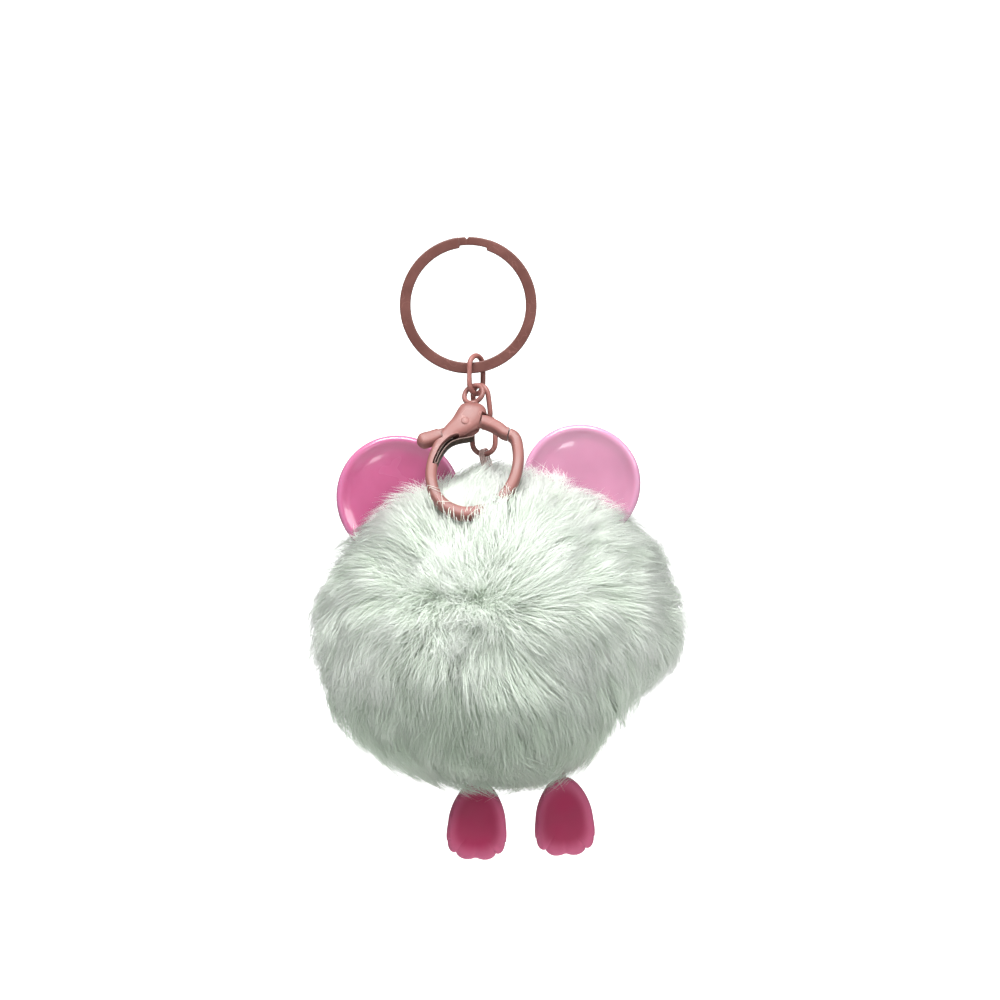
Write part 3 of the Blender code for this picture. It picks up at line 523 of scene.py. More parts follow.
@dataclass(frozen=True)
class Paint:
    """A lacquer over cast or drawn metal."""

    name: str
    colour: tuple
    pale: tuple
    roughness: float
    metallic: float
    coat: float

    def material(self) -> bpy.types.Material:
        """Lacquer with mottle, hairline scratches and paler rubbed edges."""
        made, nodes = new_material(self.name)
        height, mottle = nodes.grain(1500.0, 220.0)
        lines = nodes.add("ShaderNodeGroup", {}, node_tree=GROUPS["hairlines"]).outputs["Mask"]
        edges = nodes.ramp(nodes.add("ShaderNodeNewGeometry").outputs["Pointiness"], 0.53, 0.62)
        worn = nodes.math("MULTIPLY", edges, nodes.ramp(mottle, 0.1, 0.9))
        base = nodes.mix(mottle, shaded(self.colour, 0.80), self.colour)
        base = nodes.mix(nodes.math("MULTIPLY", worn, 0.55), base, self.pale)
        inputs = {
            "Base Color": nodes.mix(lines, base, self.pale),
            "Roughness": nodes.spread(mottle, self.roughness * 0.85, self.roughness * 1.25),
            "Normal": nodes.bump(height, 0.10, 0.04 * MM),
            "Metallic": self.metallic,
            "Specular IOR Level": 0.4,
            "Coat Weight": self.coat,
            "Coat Roughness": 0.18,
        }
        nodes.surface(self.colour, inputs)
        return made


@dataclass(frozen=True)
class SoftPlastic:
    """Soft coloured PVC that lets some light through; its edge mark is 1 on the rim, where a paler colour
    is painted for the light through the thin edge.
    """

    name: str
    deep: tuple
    rim: tuple
    roughness: float
    see_in: float
    coat: float

    def material(self) -> bpy.types.Material:
        """PVC: deep colour inside, a paler colour at the rim as painted light showing through the thin
        edge.
        """
        made, nodes = new_material(self.name)
        height, mottle = nodes.grain(900.0, 110.0)
        body = nodes.mix(mottle, shaded(self.deep, 0.88), self.deep)
        inputs = {
            # The paler rim colour is painted light showing through the thin PVC edge.
            "Base Color": nodes.mix(nodes.attribute("edge"), body, self.rim),
            "Roughness": nodes.spread(mottle, self.roughness * 0.8, self.roughness * 1.3),
            "Normal": nodes.bump(height, 0.06, 0.1 * MM),
            "Subsurface Weight": self.see_in,
            "Subsurface Radius": (1.0, 0.45, 0.6),
            "Subsurface Scale": 2.5 * MM,
            "Coat Weight": self.coat,
            "Coat Roughness": 0.06,
            "IOR": 1.5,
        }
        nodes.surface(self.deep, inputs)
        return made


@dataclass(frozen=True)
class Fur:
    """Combed plush fibre; marks: tone differs by fibre at random and is raised on the ball's lower half as
    painted shade, along runs 0 to 1 from root to tip.
    """

    name: str
    root: tuple
    body: tuple
    tip: tuple

    def material(self) -> bpy.types.Material:
        """Matt fibre, greener and darker at the root as painted shade deep in the pile, near white at the
        tip, each fibre its own tone, and the lower half darker and greener as painted shade.

        A little emission stands for the light that goes on through many fine fibres.
        """
        made, nodes = new_material(self.name)
        tone_and_low_shade, along = nodes.attribute("tone_and_low_shade"), nodes.attribute("along")
        patch = nodes.noise(nodes.place(), 110.0, 2.0)
        # The root colour, darker and greener than the body, is painted shade deep in the pile.
        body = nodes.mix(nodes.ramp(along, 0.0, 0.55), self.root, self.body)
        body = nodes.mix(nodes.ramp(along, 0.45, 1.0), body, self.tip)
        # The shade colour darkens random fibres and patches; through the tone it also darkens and greens
        # the ball's lower half as painted shade.
        shade = shaded(self.body, 0.62, 0.70, 0.61)
        for share, low, high, most in ((tone_and_low_shade, 0.35, 0.90, 0.80), (patch, 0.45, 0.75, 0.25)):
            body = nodes.mix(nodes.math("MULTIPLY", nodes.ramp(share, low, high), most), body, shade)
        inputs = {
            "Base Color": body,
            "Roughness": nodes.spread(tone_and_low_shade, 0.55, 0.85),
            "Emission Color": body,
            "Emission Strength": 0.02,
            "Sheen Weight": 0.25,
            "Sheen Roughness": 0.4,
            "Specular IOR Level": 0.2,
        }
        nodes.surface(self.body, inputs)
        return made


@dataclass(frozen=True)
class Yarn:
    """Thread, knit, wadding or nylon: a plain colour with a woven or fuzzy surface."""

    name: str
    colour: tuple
    roughness: float
    scale: float
    height: float

    def material(self) -> bpy.types.Material:
        """Crossed waves for the lay of the fibres, over a broad mottle."""
        made, nodes = new_material(self.name)
        inputs = {"Vector": nodes.place(), "Scale": self.scale, "Distortion": 3.0, "Detail": 2.0}
        wave = nodes.add("ShaderNodeTexWave", inputs).outputs["Fac"]
        mottle = nodes.grain()[1]
        share = nodes.math("MULTIPLY", wave, 0.6)
        inputs = {
            "Base Color": nodes.mix(share, self.colour, shaded(self.colour, 0.78)),
            "Roughness": nodes.spread(mottle, self.roughness * 0.9, min(1.0, self.roughness * 1.1)),
            "Normal": nodes.bump(wave, 0.5, self.height),
        }
        nodes.surface(self.colour, inputs)
        return made


def new_material(name: str) -> tuple[bpy.types.Material, Nodes]:
    """A material and its node helper."""
    made = bpy.data.materials.new(name)
    made.use_nodes = True
    return made, Nodes(made.node_tree)


GROUPS = {"grain": grain_group(), "hairlines": scratch_group()}


class Finish(Enum):
    """Every finish on the keychain."""

    RING = Paint("ring_lacquer", srgb(106, 64, 58), srgb(154, 106, 99), 0.48, 0.15, 0.05)
    LINK = Paint("link_lacquer", srgb(152, 98, 92), srgb(190, 142, 135), 0.44, 0.0, 0.10)
    CLASP = Paint("clasp_lacquer", srgb(142, 93, 88), srgb(176, 129, 123), 0.50, 0.0, 0.08)
    STEEL = Paint("spring_steel", srgb(66, 48, 42), srgb(120, 98, 92), 0.42, 0.50, 0.0)
    EAR_LEFT = SoftPlastic("ear_left_pvc", srgb(180, 90, 130), srgb(188, 112, 150), 0.22, 0.30, 0.50)
    EAR_RIGHT = SoftPlastic("ear_right_pvc", srgb(193, 134, 162), srgb(202, 148, 178), 0.20, 0.30, 0.55)
    FOOT = SoftPlastic("foot_pvc", srgb(156, 34, 78), srgb(194, 96, 132), 0.62, 0.20, 0.0)
    # The fur's root colour is darker and greener than its body: painted shade deep in the pile.
    FUR = Fur("plush_fibre", srgb(224, 236, 220), srgb(240, 247, 238), srgb(250, 252, 249))
    UNDER = Yarn("under_pile", srgb(220, 232, 217), 0.95, 900.0, 0.0004)
    KNIT = Yarn("backing_knit", srgb(206, 214, 204), 0.92, 1400.0, 0.0002)
    WADDING = Yarn("fibre_wadding", srgb(244, 244, 240), 0.95, 260.0, 0.0008)
    THREAD = Yarn("sewing_thread", srgb(234, 224, 224), 0.60, 2600.0, 0.00008)
    CLEAR = Yarn("clear_elastic", srgb(222, 188, 184), 0.35, 900.0, 0.00004)
    NYLON = Yarn("disc_nylon", srgb(238, 238, 233), 0.45, 300.0, 0.00005)


MATERIALS = {finish: finish.value.material() for finish in Finish}


def dress(made: Thing, finish: Finish, body: str, replaces: tuple[str, ...] = ()) -> Thing:
    """Give a piece its finish and its body.

    Args:
        made: the piece.
        finish: what it is made of.
        body: the CAD body it rides on.
        replaces: CAD nodes that it stands for.

    Returns:
        The piece.
    """
    made.data.materials.clear()
    made.data.materials.append(MATERIALS[finish])
    if replaces:
        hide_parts(*replaces)
    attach(made, body)
    LOG.info("%s: %d faces, rides on %s", made.name, len(made.data.polygons), body)
    return made


# ------------------------------------------------------------------ ring and chain


@dataclass
class SplitRing:
    """Flat wire wound twice and stepping across near the top."""

    outer: float = 15.0 * MM
    band: float = 2.4 * MM
    turn: float = 0.9 * MM
    between: float = 0.12 * MM
    crossing: tuple[float, float] = (math.radians(-9), math.radians(20))
    thinned: float = 0.24  # part of the band's width missing where the wire crosses
    round_points: int = 20

    def build(self) -> None:
        """The wire's section carried round angle a: radius (sin a, cos a), stepping in Y."""
        first, last = self.crossing
        full = FULL_TURN
        angle = np.r_[
            np.linspace(last, full + first, 120, endpoint=False),
            np.linspace(full + first, full + last, 70, endpoint=False),
            np.linspace(full + last, 2 * full + first, 120),
        ]
        step = smoothstep(full + first, full + last, angle)
        y = (self.turn + self.between) / 2 * (1 - 2 * step)
        out = np.stack([np.sin(angle), np.zeros_like(angle), np.cos(angle)], axis=-1)
        edge = math.radians(1.2)
        thin = smoothstep(full + first, full + first + edge, angle)
        thin = self.thinned * thin * smoothstep(full + last - edge, full + last - 2 * edge, angle)
        notch = 0.20 * np.exp(-0.5 * ((angle - full + edge) / math.radians(0.7)) ** 2)
        size = 1 - thin - notch
        radius = self.outer - self.band / 2 * (1 - 0.8 * thin + notch)
        middle = place_of("ring_slide") + out * radius[:, None]
        middle[:, 1] += y
        across, deep = rounded_section(self.band * size, self.turn * size, self.round_points, 0.34)
        rings = middle[:, None] + out[:, None] * across[..., None] + np.array((0, 1.0, 0)) * deep[..., None]
        made = ringed("split_ring_wire", rings, sharp=50)
        dress(made, Finish.RING, "split_ring", ("split_ring",))


@dataclass
class Chain:
    """Three oval links, each on its own joint, and the seam where each was closed."""

    length: float = 9.5 * MM
    width: float = 6.2 * MM
    wire: float = 0.575 * MM
    rest: float = 1.57 * MM  # between the wires of two links where one hangs on the other

    def link(self, node: str, top: Array, foot: Array, turn: float) -> None:
        """An oval: cos a across, sin a plus a straight part along, its plane turned about Z.

        Args:
            node: the CAD node it stands for.
            top: centre line's highest point.
            foot: centre line's lowest point.
            turn: angle of its plane from the front.
        """
        along = unit(top - foot)
        side = np.array((math.cos(turn), math.sin(turn), 0.0))
        side = unit(side - along * (side @ along))
        bend = self.width / 2 - self.wire
        straight = np.linalg.norm(top - foot) / 2 - bend
        angle = turns(120) + 0.01
        rise = bend * np.sin(angle) + straight * np.tanh(np.sin(angle) * 9)
        line = (top + foot) / 2 + side * (bend * np.cos(angle))[:, None] + along * rise[:, None]
        seam = np.exp(-0.5 * ((np.arange(120) - 60) / 0.8) ** 2)
        made = tubes(node + "_wire", [line], self.wire * (1 - 0.10 * seam), 20, closed=True)
        dress(made, Finish.LINK, node, (node,))

    def build(self) -> None:
        """All three, from the joints they hang on."""
        reach = np.array((0, 0, self.length - 2 * self.wire))
        low, high = corners_of("link_upper")
        top = (low + high) / 2
        top[2] = high[2] - self.wire
        middle, lower = place_of("link_middle_swing"), place_of("link_lower_swing")
        self.link("link_upper", top, top - reach, math.radians(54))
        self.link("link_middle", middle, lower - np.array((0, 0, self.rest)), math.radians(-48))
        self.link("link_lower", lower, place_of("ball_swing"), math.radians(6))


# ------------------------------------------------------------------ clasp


@dataclass
class Clasp:
    """Lobster clasp: swivel eye, cast hook, gate lever, pin and leaf spring, in its own plane."""

    length: float = 30.2 * MM
    eye_width: float = 5.7 * MM
    eye_height: float = 5.4 * MM
    eye_wire: float = 0.55 * MM
    eye_turn: float = math.radians(-28)
    stem: float = 0.8 * MM
    stem_head: float = 1.45 * MM
    collar: float = 1.15 * MM
    stem_end: float = 0.175
    slot_half: float = 1.2 * MM
    lever_half: float = 0.9 * MM
    gate_depth: float = 3.2 * MM
    pin: float = 0.6 * MM
    gap: float = 0.3 * MM  # round the stem in its bore
    seam: float = 0.14 * MM  # round the lever where it is closed
    pin_gap: float = 0.1 * MM
    edge: float = 0.09 * MM  # bevel on the hook's cut edges
    channel_size: tuple[float, float] = (1.9 * MM, 5.0 * MM)
    channel_out: float = 1.0 * MM  # how far in front of the middle plane the channel's cutter lies
    leaf: tuple[float, float] = (0.40 * MM, 2.2 * MM)
    tab_ends: float = 0.24
    gate_starts: float = 0.69
    hook_line: tuple = (
        (0.003, 0.103, 0.120, 0.110),
        (-0.002, 0.135, 0.195, 0.155),
        (-0.022, 0.200, 0.218, 0.166),
        (-0.083, 0.275, 0.185, 0.160),
        (-0.162, 0.338, 0.132, 0.140),
        (-0.228, 0.417, 0.100, 0.126),
        (-0.281, 0.536, 0.086, 0.113),
        (-0.305, 0.682, 0.083, 0.106),
        (-0.278, 0.828, 0.083, 0.106),
        (-0.199, 0.940, 0.086, 0.106),
        (-0.073, 1.000, 0.093, 0.109),
        (0.066, 0.974, 0.086, 0.106),
        (0.192, 0.884, 0.083, 0.106),
        (0.278, 0.755, 0.083, 0.106),
        (0.318, 0.609, 0.083, 0.106),
        (0.321, 0.477, 0.083, 0.106),
        (0.297, 0.372, 0.083, 0.106),
        (0.226, 0.326, 0.076, 0.100),
    )
    lever_line: tuple = (
        (-0.407, 0.411, 0.070),
        (-0.364, 0.394, 0.103),
        (-0.298, 0.371, 0.100),
        (-0.166, 0.315, 0.086),
        (-0.060, 0.268, 0.100),
        (0.033, 0.238, 0.092),
        (0.090, 0.242, 0.090),
        (0.172, 0.285, 0.086),
        (0.222, 0.328, 0.083),
        (0.252, 0.338, 0.083),
    )
    channel_line: tuple = (
        (-0.098, 0.392),
        (-0.154, 0.414),
        (-0.210, 0.474),
        (-0.250, 0.560),
        (-0.266, 0.615),
    )
    spring_line: tuple = (
        (-0.150, 0.388),
        (-0.184, 0.407),
        (-0.231, 0.466),
        (-0.268, 0.552),
        (-0.278, 0.588),
        (-0.269, 0.600),
        (-0.259, 0.587),
        (-0.247, 0.550),
        (-0.210, 0.477),
        (-0.163, 0.423),
        (-0.105, 0.396),
        (-0.050, 0.385),
        (0.000, 0.372),
    )

    def __post_init__(self) -> None:
        """Read the clasp's plane from its joints: up the swivel's axis, out along the gate's."""
        self.eye = place_of("clasp_swivel")
        self.up = axis_of("clasp_swivel")
        self.out = -axis_of("clasp_gate")
        self.right = np.cross(self.up, self.out)
        self.pivot = place_of("clasp_gate")

    def spot(self, right: float, up: float, out: float = 0.0) -> Array:
        """A place in the clasp's plane as a point in space."""
        return self.eye + self.right * right + self.up * up + self.out * out

    def flat(self, places: Array) -> Array:
        """Points in space as right, up and out in the clasp's plane."""
        return (places - self.eye) @ np.column_stack([self.right, self.up, self.out])

    def stations(self, line: tuple, where: Array) -> Array:
        """A line given in parts of the clasp's length, down as negative, read at shares of its run."""
        rows = np.array(line) * self.length
        rows[:, 1] *= -1
        return smooth_line(rows, where)

    def loft(self, name: str, rows: Array, count: int = 28, power: float = 0.62, out: float = 0.0) -> Thing:
        """Sections across the line's own direction, in the plane and out of it.

        Args:
            name: the piece's name.
            rows: right, up, width and depth at each station.
            count: points round a section.
            power: the sections' squareness.
            out: how far the whole line stands out of the plane.

        Returns:
            The object.
        """
        ahead = unit(np.gradient(rows[:, :2], axis=0))
        across, deep = rounded_section(rows[:, 2], rows[:, 3], count, power)
        deep = deep + out
        right = rows[:, None, 0] - ahead[:, None, 1] * across
        up = rows[:, None, 1] + ahead[:, None, 0] * across
        points = self.eye + right[..., None] * self.right + up[..., None] * self.up
        points = points + deep[..., None] * self.out
        return ringed(name, points)

    def lever_rows(self, where: Array) -> Array:
        """The lever's stations, thin in the slot and wide at both ends."""
        rows = self.stations(self.lever_line, where)
        wide = (where <= self.tab_ends) | (where >= self.gate_starts)
        return np.column_stack([rows, np.where(wide, self.gate_depth, 2 * self.lever_half)])

    def swept(self, name: str, where: Array, room: float, half: float) -> Thing:
        """A cutter for the space that a stretch of the lever covers as it opens.

        Args:
            name: the cutter's name.
            where: shares of the lever's line.
            room: clearance all round.
            half: half the cutter's depth.

        Returns:
            A closed prism over the convex outline of the covered points.
        """
        rows = self.lever_rows(where)[:, :3]
        pivot = self.flat(self.pivot)[:2]
        ahead = unit(np.gradient(rows[:, :2], axis=0))
        middle = rows[:, :2].copy()
        middle[0] -= ahead[0] * room
        middle[-1] += ahead[-1] * room
        across = np.column_stack([-ahead[:, 1], ahead[:, 0]]) * (rows[:, 2:3] / 2 + room)
        edge = np.vstack([middle + across, middle - across]) - pivot
        angle = -math.radians(JOINTS["clasp_gate"]["range_deg"][1]) * np.linspace(0, 1.06, 7)
        turn = np.array([[np.cos(angle), -np.sin(angle)], [np.sin(angle), np.cos(angle)]])
        covered = np.einsum("ijk,nj->kni", turn, edge).reshape(-1, 2) + pivot
        facing = np.column_stack([np.cos(turns(72)), np.sin(turns(72))])
        outline = covered[np.argmax(covered @ facing.T, axis=0)]
        outline = outline[np.r_[True, np.linalg.norm(np.diff(outline, axis=0), axis=1) > 1e-7]]
        flat = self.eye + outline[:, :1] * self.right + outline[:, 1:] * self.up
        return ringed(name, np.stack([flat - self.out * half, flat + self.out * half]))

    def pin_bore(self, reach: float) -> Thing:
        """A cutter along the gate's axis, reach to each side of the pivot."""
        ends = (self.pivot - self.out * reach, self.pivot + self.out * reach)
        return rod("pin_bore", *ends, self.pin + self.pin_gap)

    def build_hook(self) -> None:
        """The cast body with its slot, channel, bores and trimmed ends."""
        rows = self.stations(self.hook_line, np.linspace(0, 1, 170))
        hook = self.loft("clasp_hook", rows, 32, 0.62)
        end = -self.length * self.stem_end
        room = self.seam
        full = self.length * 0.2
        channel = self.stations(self.channel_line, np.linspace(0, 1, 24))
        sizes = np.tile(self.channel_size, (24, 1))
        between = (self.tab_ends + 0.004, self.gate_starts - 0.004)
        cutters = [
            self.swept("slot", np.linspace(*between, 12), room, self.slot_half),
            self.swept("tab_room", np.linspace(0, self.tab_ends, 8), room, full),
            self.swept("gate_room", np.linspace(self.gate_starts, 1, 10), room, full),
            self.loft("channel", np.column_stack([channel, sizes]), 12, 0.3, self.channel_out),
            rod("stem_bore", self.spot(0, 0), self.spot(0, end), self.stem + self.gap),
            self.pin_bore(full),
        ]
        apply_cuts(hook, cutters)
        bevel = hook.modifiers.new("Bevel", "BEVEL")
        bevel.width = self.edge
        bevel.segments = 2
        bevel.limit_method = "ANGLE"
        bevel.angle_limit = math.radians(50)
        bevel.use_clamp_overlap = True
        dress(hook, Finish.CLASP, "clasp", ("clasp_body",))

    def build_lever(self) -> None:
        """Thumb tab and gate in one piece, with a hole for the pin."""
        step = 0.004
        tab = np.linspace(0, self.tab_ends, 26)
        thin = np.linspace(self.tab_ends + step, self.gate_starts - step, 30)
        gate = np.linspace(self.gate_starts, 1, 34)
        rows = self.lever_rows(np.r_[tab, thin, gate])
        run = np.r_[0, np.cumsum(np.linalg.norm(np.diff(rows[:, :2], axis=0), axis=1))]
        blunt = np.sqrt(np.clip(1 - (1 - np.clip(run / (1.4 * MM), 0.03, 1)) ** 2, 0, 1))
        rows[:, 2] *= blunt
        rows[:, 3] *= blunt
        lever = self.loft("clasp_lever", rows, 28, 0.58)
        apply_cuts(lever, [self.pin_bore(self.gate_depth)])
        dress(lever, Finish.CLASP, "gate", ("clasp_gate_lever",))

    def build_pin(self) -> None:
        """A rivet turned about the gate's axis, domed at both ends."""
        half, head, dome = self.length * 0.083, 0.14 * MM, self.pin + 0.3 * MM
        share = np.linspace(0, math.pi / 2, 7)
        height = np.r_[half + head * np.cos(share), half * 0.98, half * 0.9]
        radius = np.r_[dome * np.sin(share) + 1e-6, self.pin, self.pin]
        height, radius = np.r_[height, -height[::-1]], np.r_[radius, radius[::-1]]
        angle = turns(28)[:, None]
        wheel = np.cos(angle) * self.right + np.sin(angle) * self.up
        rings = self.pivot + height[:, None, None] * self.out + radius[:, None, None] * wheel
        made = ringed("clasp_rivet", rings, sharp=50)
        dress(made, Finish.CLASP, "clasp", ("clasp_pivot_pin",))

    def build_spring(self) -> None:
        """The leaf, doubled back on itself in the channel, its free end on the lever."""
        line = self.stations(self.spring_line, np.linspace(0, 1, 130))
        leaf = self.loft("clasp_leaf", np.column_stack([line, np.tile(self.leaf, (130, 1))]), 16, 0.4)
        leaf.data.set_sharp_from_angle(angle=math.radians(50))
        dress(leaf, Finish.STEEL, "clasp", ("clasp_spring",))

    def build_eye(self) -> None:
        """The round eye, its stem and the riveted end inside the head."""
        turn = np.array(Matrix.Rotation(self.eye_turn, 3, Vector(self.up)))
        side = turn @ self.right
        angle = turns(96)[:, None]
        wide, tall = self.eye_width / 2 - self.eye_wire, self.eye_height / 2 - self.eye_wire
        line = self.eye + side * wide * np.cos(angle) + self.up * tall * np.sin(angle)
        eye = tubes("clasp_eye_ring", [line], self.eye_wire, 20, closed=True)
        end = -self.length * self.stem_end
        stem = rod("stem", self.spot(0, -tall), self.spot(0, end + 0.3 * MM), self.stem, 24)
        head = rod("stem_head", self.spot(0, end + 0.7 * MM), self.spot(0, end), self.stem_head, 24)
        under = (self.spot(0, -tall - 0.2 * MM), self.spot(0, -tall - 0.55 * MM))
        collar = rod("collar", *under, self.collar, 28)
        apply_cuts(eye, [], [stem, head, collar])
        dress(eye, Finish.CLASP, "clasp_eye", ("clasp_swivel_eye",))

    def build(self) -> None:
        """Every piece of the clasp."""
        self.build_hook()
        self.build_lever()
        self.build_pin()
        self.build_spring()
        self.build_eye()


# ------------------------------------------------------------------ ears and feet


@dataclass
class Ear:
    """A dished disc of soft PVC with a raised rim and a sewing tab."""

    node: str
    finish: Finish
    radius: float
    rim: float = 2.6 * MM
    dish: float = 1.1 * MM
    tab: float = 2.4 * MM
    tab_width: float = 4.2 * MM
    stitch_hole: float = 0.55 * MM

    def __post_init__(self) -> None:
        """Find the disc's middle: its node's far corner less the radius."""
        low, high = corners_of(self.node)
        left = self.node.endswith("left")
        across = low[0] + self.radius if left else high[0] - self.radius
        self.centre = np.array((across, (low[1] + high[1]) / 2, high[2] - self.radius))
        self.inward = unit((BALL - self.centre) * (1, 0, 1))

    def build(self) -> None:
        """Rings of a turned profile: dished face, rolled rim, plain back; wavy by a tenth of a mm."""
        half = self.rim / 2
        dish = half - self.dish * np.array((1, 0.98, 0.90, 0.68, 0.34, 0.06))
        rim = half * np.array((1, 0.86, 0.42, -0.10, -0.62, -0.94, -1, -0.96, -0.94))
        out = (0, 0.3, 0.56, 0.74, 0.84, 0.895, 0.935, 0.972, 0.996, 1, 0.992, 0.965, 0.9, 0.5, 0)
        profile = np.column_stack([out, np.r_[dish, rim]])
        rows = smooth_line(profile * (self.radius, 1.0), np.linspace(0, 1, 90))
        rows[0, 0] = rows[-1, 0] = 1e-6
        angle = turns(144)
        share = rows[:, :1] / self.radius
        radius = rows[:, :1] * (1 + 0.006 * np.sin(3 * angle + 1.0) * share)
        lift = rows[:, 1:] + 0.25 * MM * np.sin(2 * angle + 0.6) * share**2
        points = np.stack([radius * np.cos(angle), -lift, radius * np.sin(angle)], -1) + self.centre
        # Paler rim on the ear: painted light through the thin edge.
        edge = smoothstep(0.86, 0.985, np.repeat(share, 144))
        made = ringed(self.node + "_disc", points, {"edge": edge})
        dress(made, self.finish, "ball", (self.node,))
        across = np.cross(self.inward, (0, 1.0, 0))
        start = self.centre + self.inward * (self.radius - 1.4 * MM)
        line = start + self.inward * np.linspace(0, self.tab + 1.2 * MM, 14)[:, None]
        size = np.ones(14)
        wide, deep = rounded_section(size * self.tab_width, size * self.rim * 0.6, 20, 0.4)
        rings = line[:, None] + across * wide[..., None] + np.array((0, 1.0, 0)) * deep[..., None]
        tab = ringed(self.node + "_tab", rings, {"edge": np.zeros(rings.shape[:2])}, 50)
        spot = self.centre + self.inward * (self.radius + self.tab * 0.42)
        drill = np.array((0, 2 * self.rim, 0))
        apply_cuts(tab, [rod("stitch_hole", spot - drill, spot + drill, self.stitch_hole, 20)])
        dress(tab, self.finish, "ball")


@dataclass
class Foot:
    """A flat-faced paw with four toes under an eyelet."""

    node: str
    joint: str
    lean: float
    height: float = 17.3 * MM
    width: float = 13.6 * MM
    depth: float = 6.0 * MM
    drop: float = 2.6 * MM  # from the eyelet's middle to the paw's top
    toe: float = 0.7 * MM
    eyelet: tuple[float, float] = (1.05 * MM, 0.5 * MM)  # radius and wire
    stem: tuple[float, float] = (0.62 * MM, 1.15 * MM)  # radius at the eyelet and in the paw

    @staticmethod
    def toe_share(t: Array) -> Array:
        """0 to 1 across the four toes, which take up 124 degrees at the foot."""
        return (t - math.radians(118)) / math.radians(124)

    def outline(self, t: Array, share: Array) -> tuple[Array, Array]:
        """The paw's outline at angle t from its top, scaled by share of the way out.

        Half width times sin^0.85 t times a factor that broadens downwards; half height times
        cos^0.8 t; four sine lobes, the toes, at the foot, which fade towards the middle.

        Args:
            t: angles, 0 to 2 pi.
            share: 0 at the middle, 1 at the rim.

        Returns:
            Across and up offsets.
        """
        broad = (0.80 - 0.24 * np.cos(t)) / 0.862
        x = self.width / 2 * np.sign(np.sin(t)) * np.abs(np.sin(t)) ** 0.85 * broad
        z = self.height / 2 * np.sign(np.cos(t)) * np.abs(np.cos(t)) ** 0.80
        toe = self.toe_share(t)
        lobe = np.where((toe > 0) & (toe < 1), np.abs(np.sin(4 * math.pi * toe)) ** 0.6 - 0.8, 0.0)
        z = z - self.toe * lobe * share**5
        x = x * (1 + 0.03 * lobe * share**5)
        return x * share, z * share

    def build(self) -> None:
        """A closed form over angle t and latitude v: outline times cos^0.32 v, depth sin^0.75 v."""
        hung = place_of(self.joint)
        t = FULL_TURN * (np.arange(180) + 0.5) / 180
        v = np.linspace(-math.pi / 2, math.pi / 2, 56)
        share = np.abs(np.cos(v)) ** 0.32
        share[0] = share[-1] = 1e-4
        tt, ss = np.meshgrid(t, share)
        x, z = self.outline(tt, ss)
        y = self.depth / 2 * np.sign(np.sin(v)) * np.abs(np.sin(v)) ** 0.75
        toe = np.clip(self.toe_share(tt), 0, 1)
        crease = np.where((toe > 0) & (toe < 1), (1 - np.abs(np.sin(4 * math.pi * toe))) ** 3, 0.0)
        crease = crease * smoothstep(0.45, 0.9, ss) * (toe > 0.1) * (toe < 0.9)
        y = y[:, None] * (1 - 0.10 * crease) * (1 - 0.10 * (1 - ss))
        middle = -self.drop - self.height / 2
        z = z + middle
        cos, sin = math.cos(self.lean), math.sin(self.lean)
        points = np.stack([x * cos - z * sin, y, x * sin + z * cos], axis=-1) + hung
        # Paler rim on the paw: painted light through the thin edge.
        edge = smoothstep(0.55, 1.0, ss) * 0.9
        made = ringed(self.node + "_paw", points, {"edge": edge})
        dress(made, Finish.FOOT, self.node, (self.node,))
        angle = turns(48)
        loop = np.stack([np.zeros(48), np.cos(angle), np.sin(angle)], axis=-1) * self.eyelet[0] + hung
        ring = tubes(self.node + "_eyelet", [loop], self.eyelet[1], 14, closed=True)
        down = np.array((sin, 0.0, -cos))
        line = hung + down * np.linspace(1.25 * MM, self.drop + 1.6 * MM, 12)[:, None]
        stem = tubes(self.node + "_stem", [line], np.linspace(*self.stem, 12), 18)
        apply_cuts(ring, [], [stem])
        # The whole eyelet takes most of the pale rim colour: painted light through the thin PVC.
        layer = ring.data.attributes.new("edge", "FLOAT", "POINT")
        layer.data.foreach_set("value", np.full(len(ring.data.vertices), 0.9, np.float32))
        dress(ring, Finish.FOOT, self.node)


# ------------------------------------------------------------------ threads


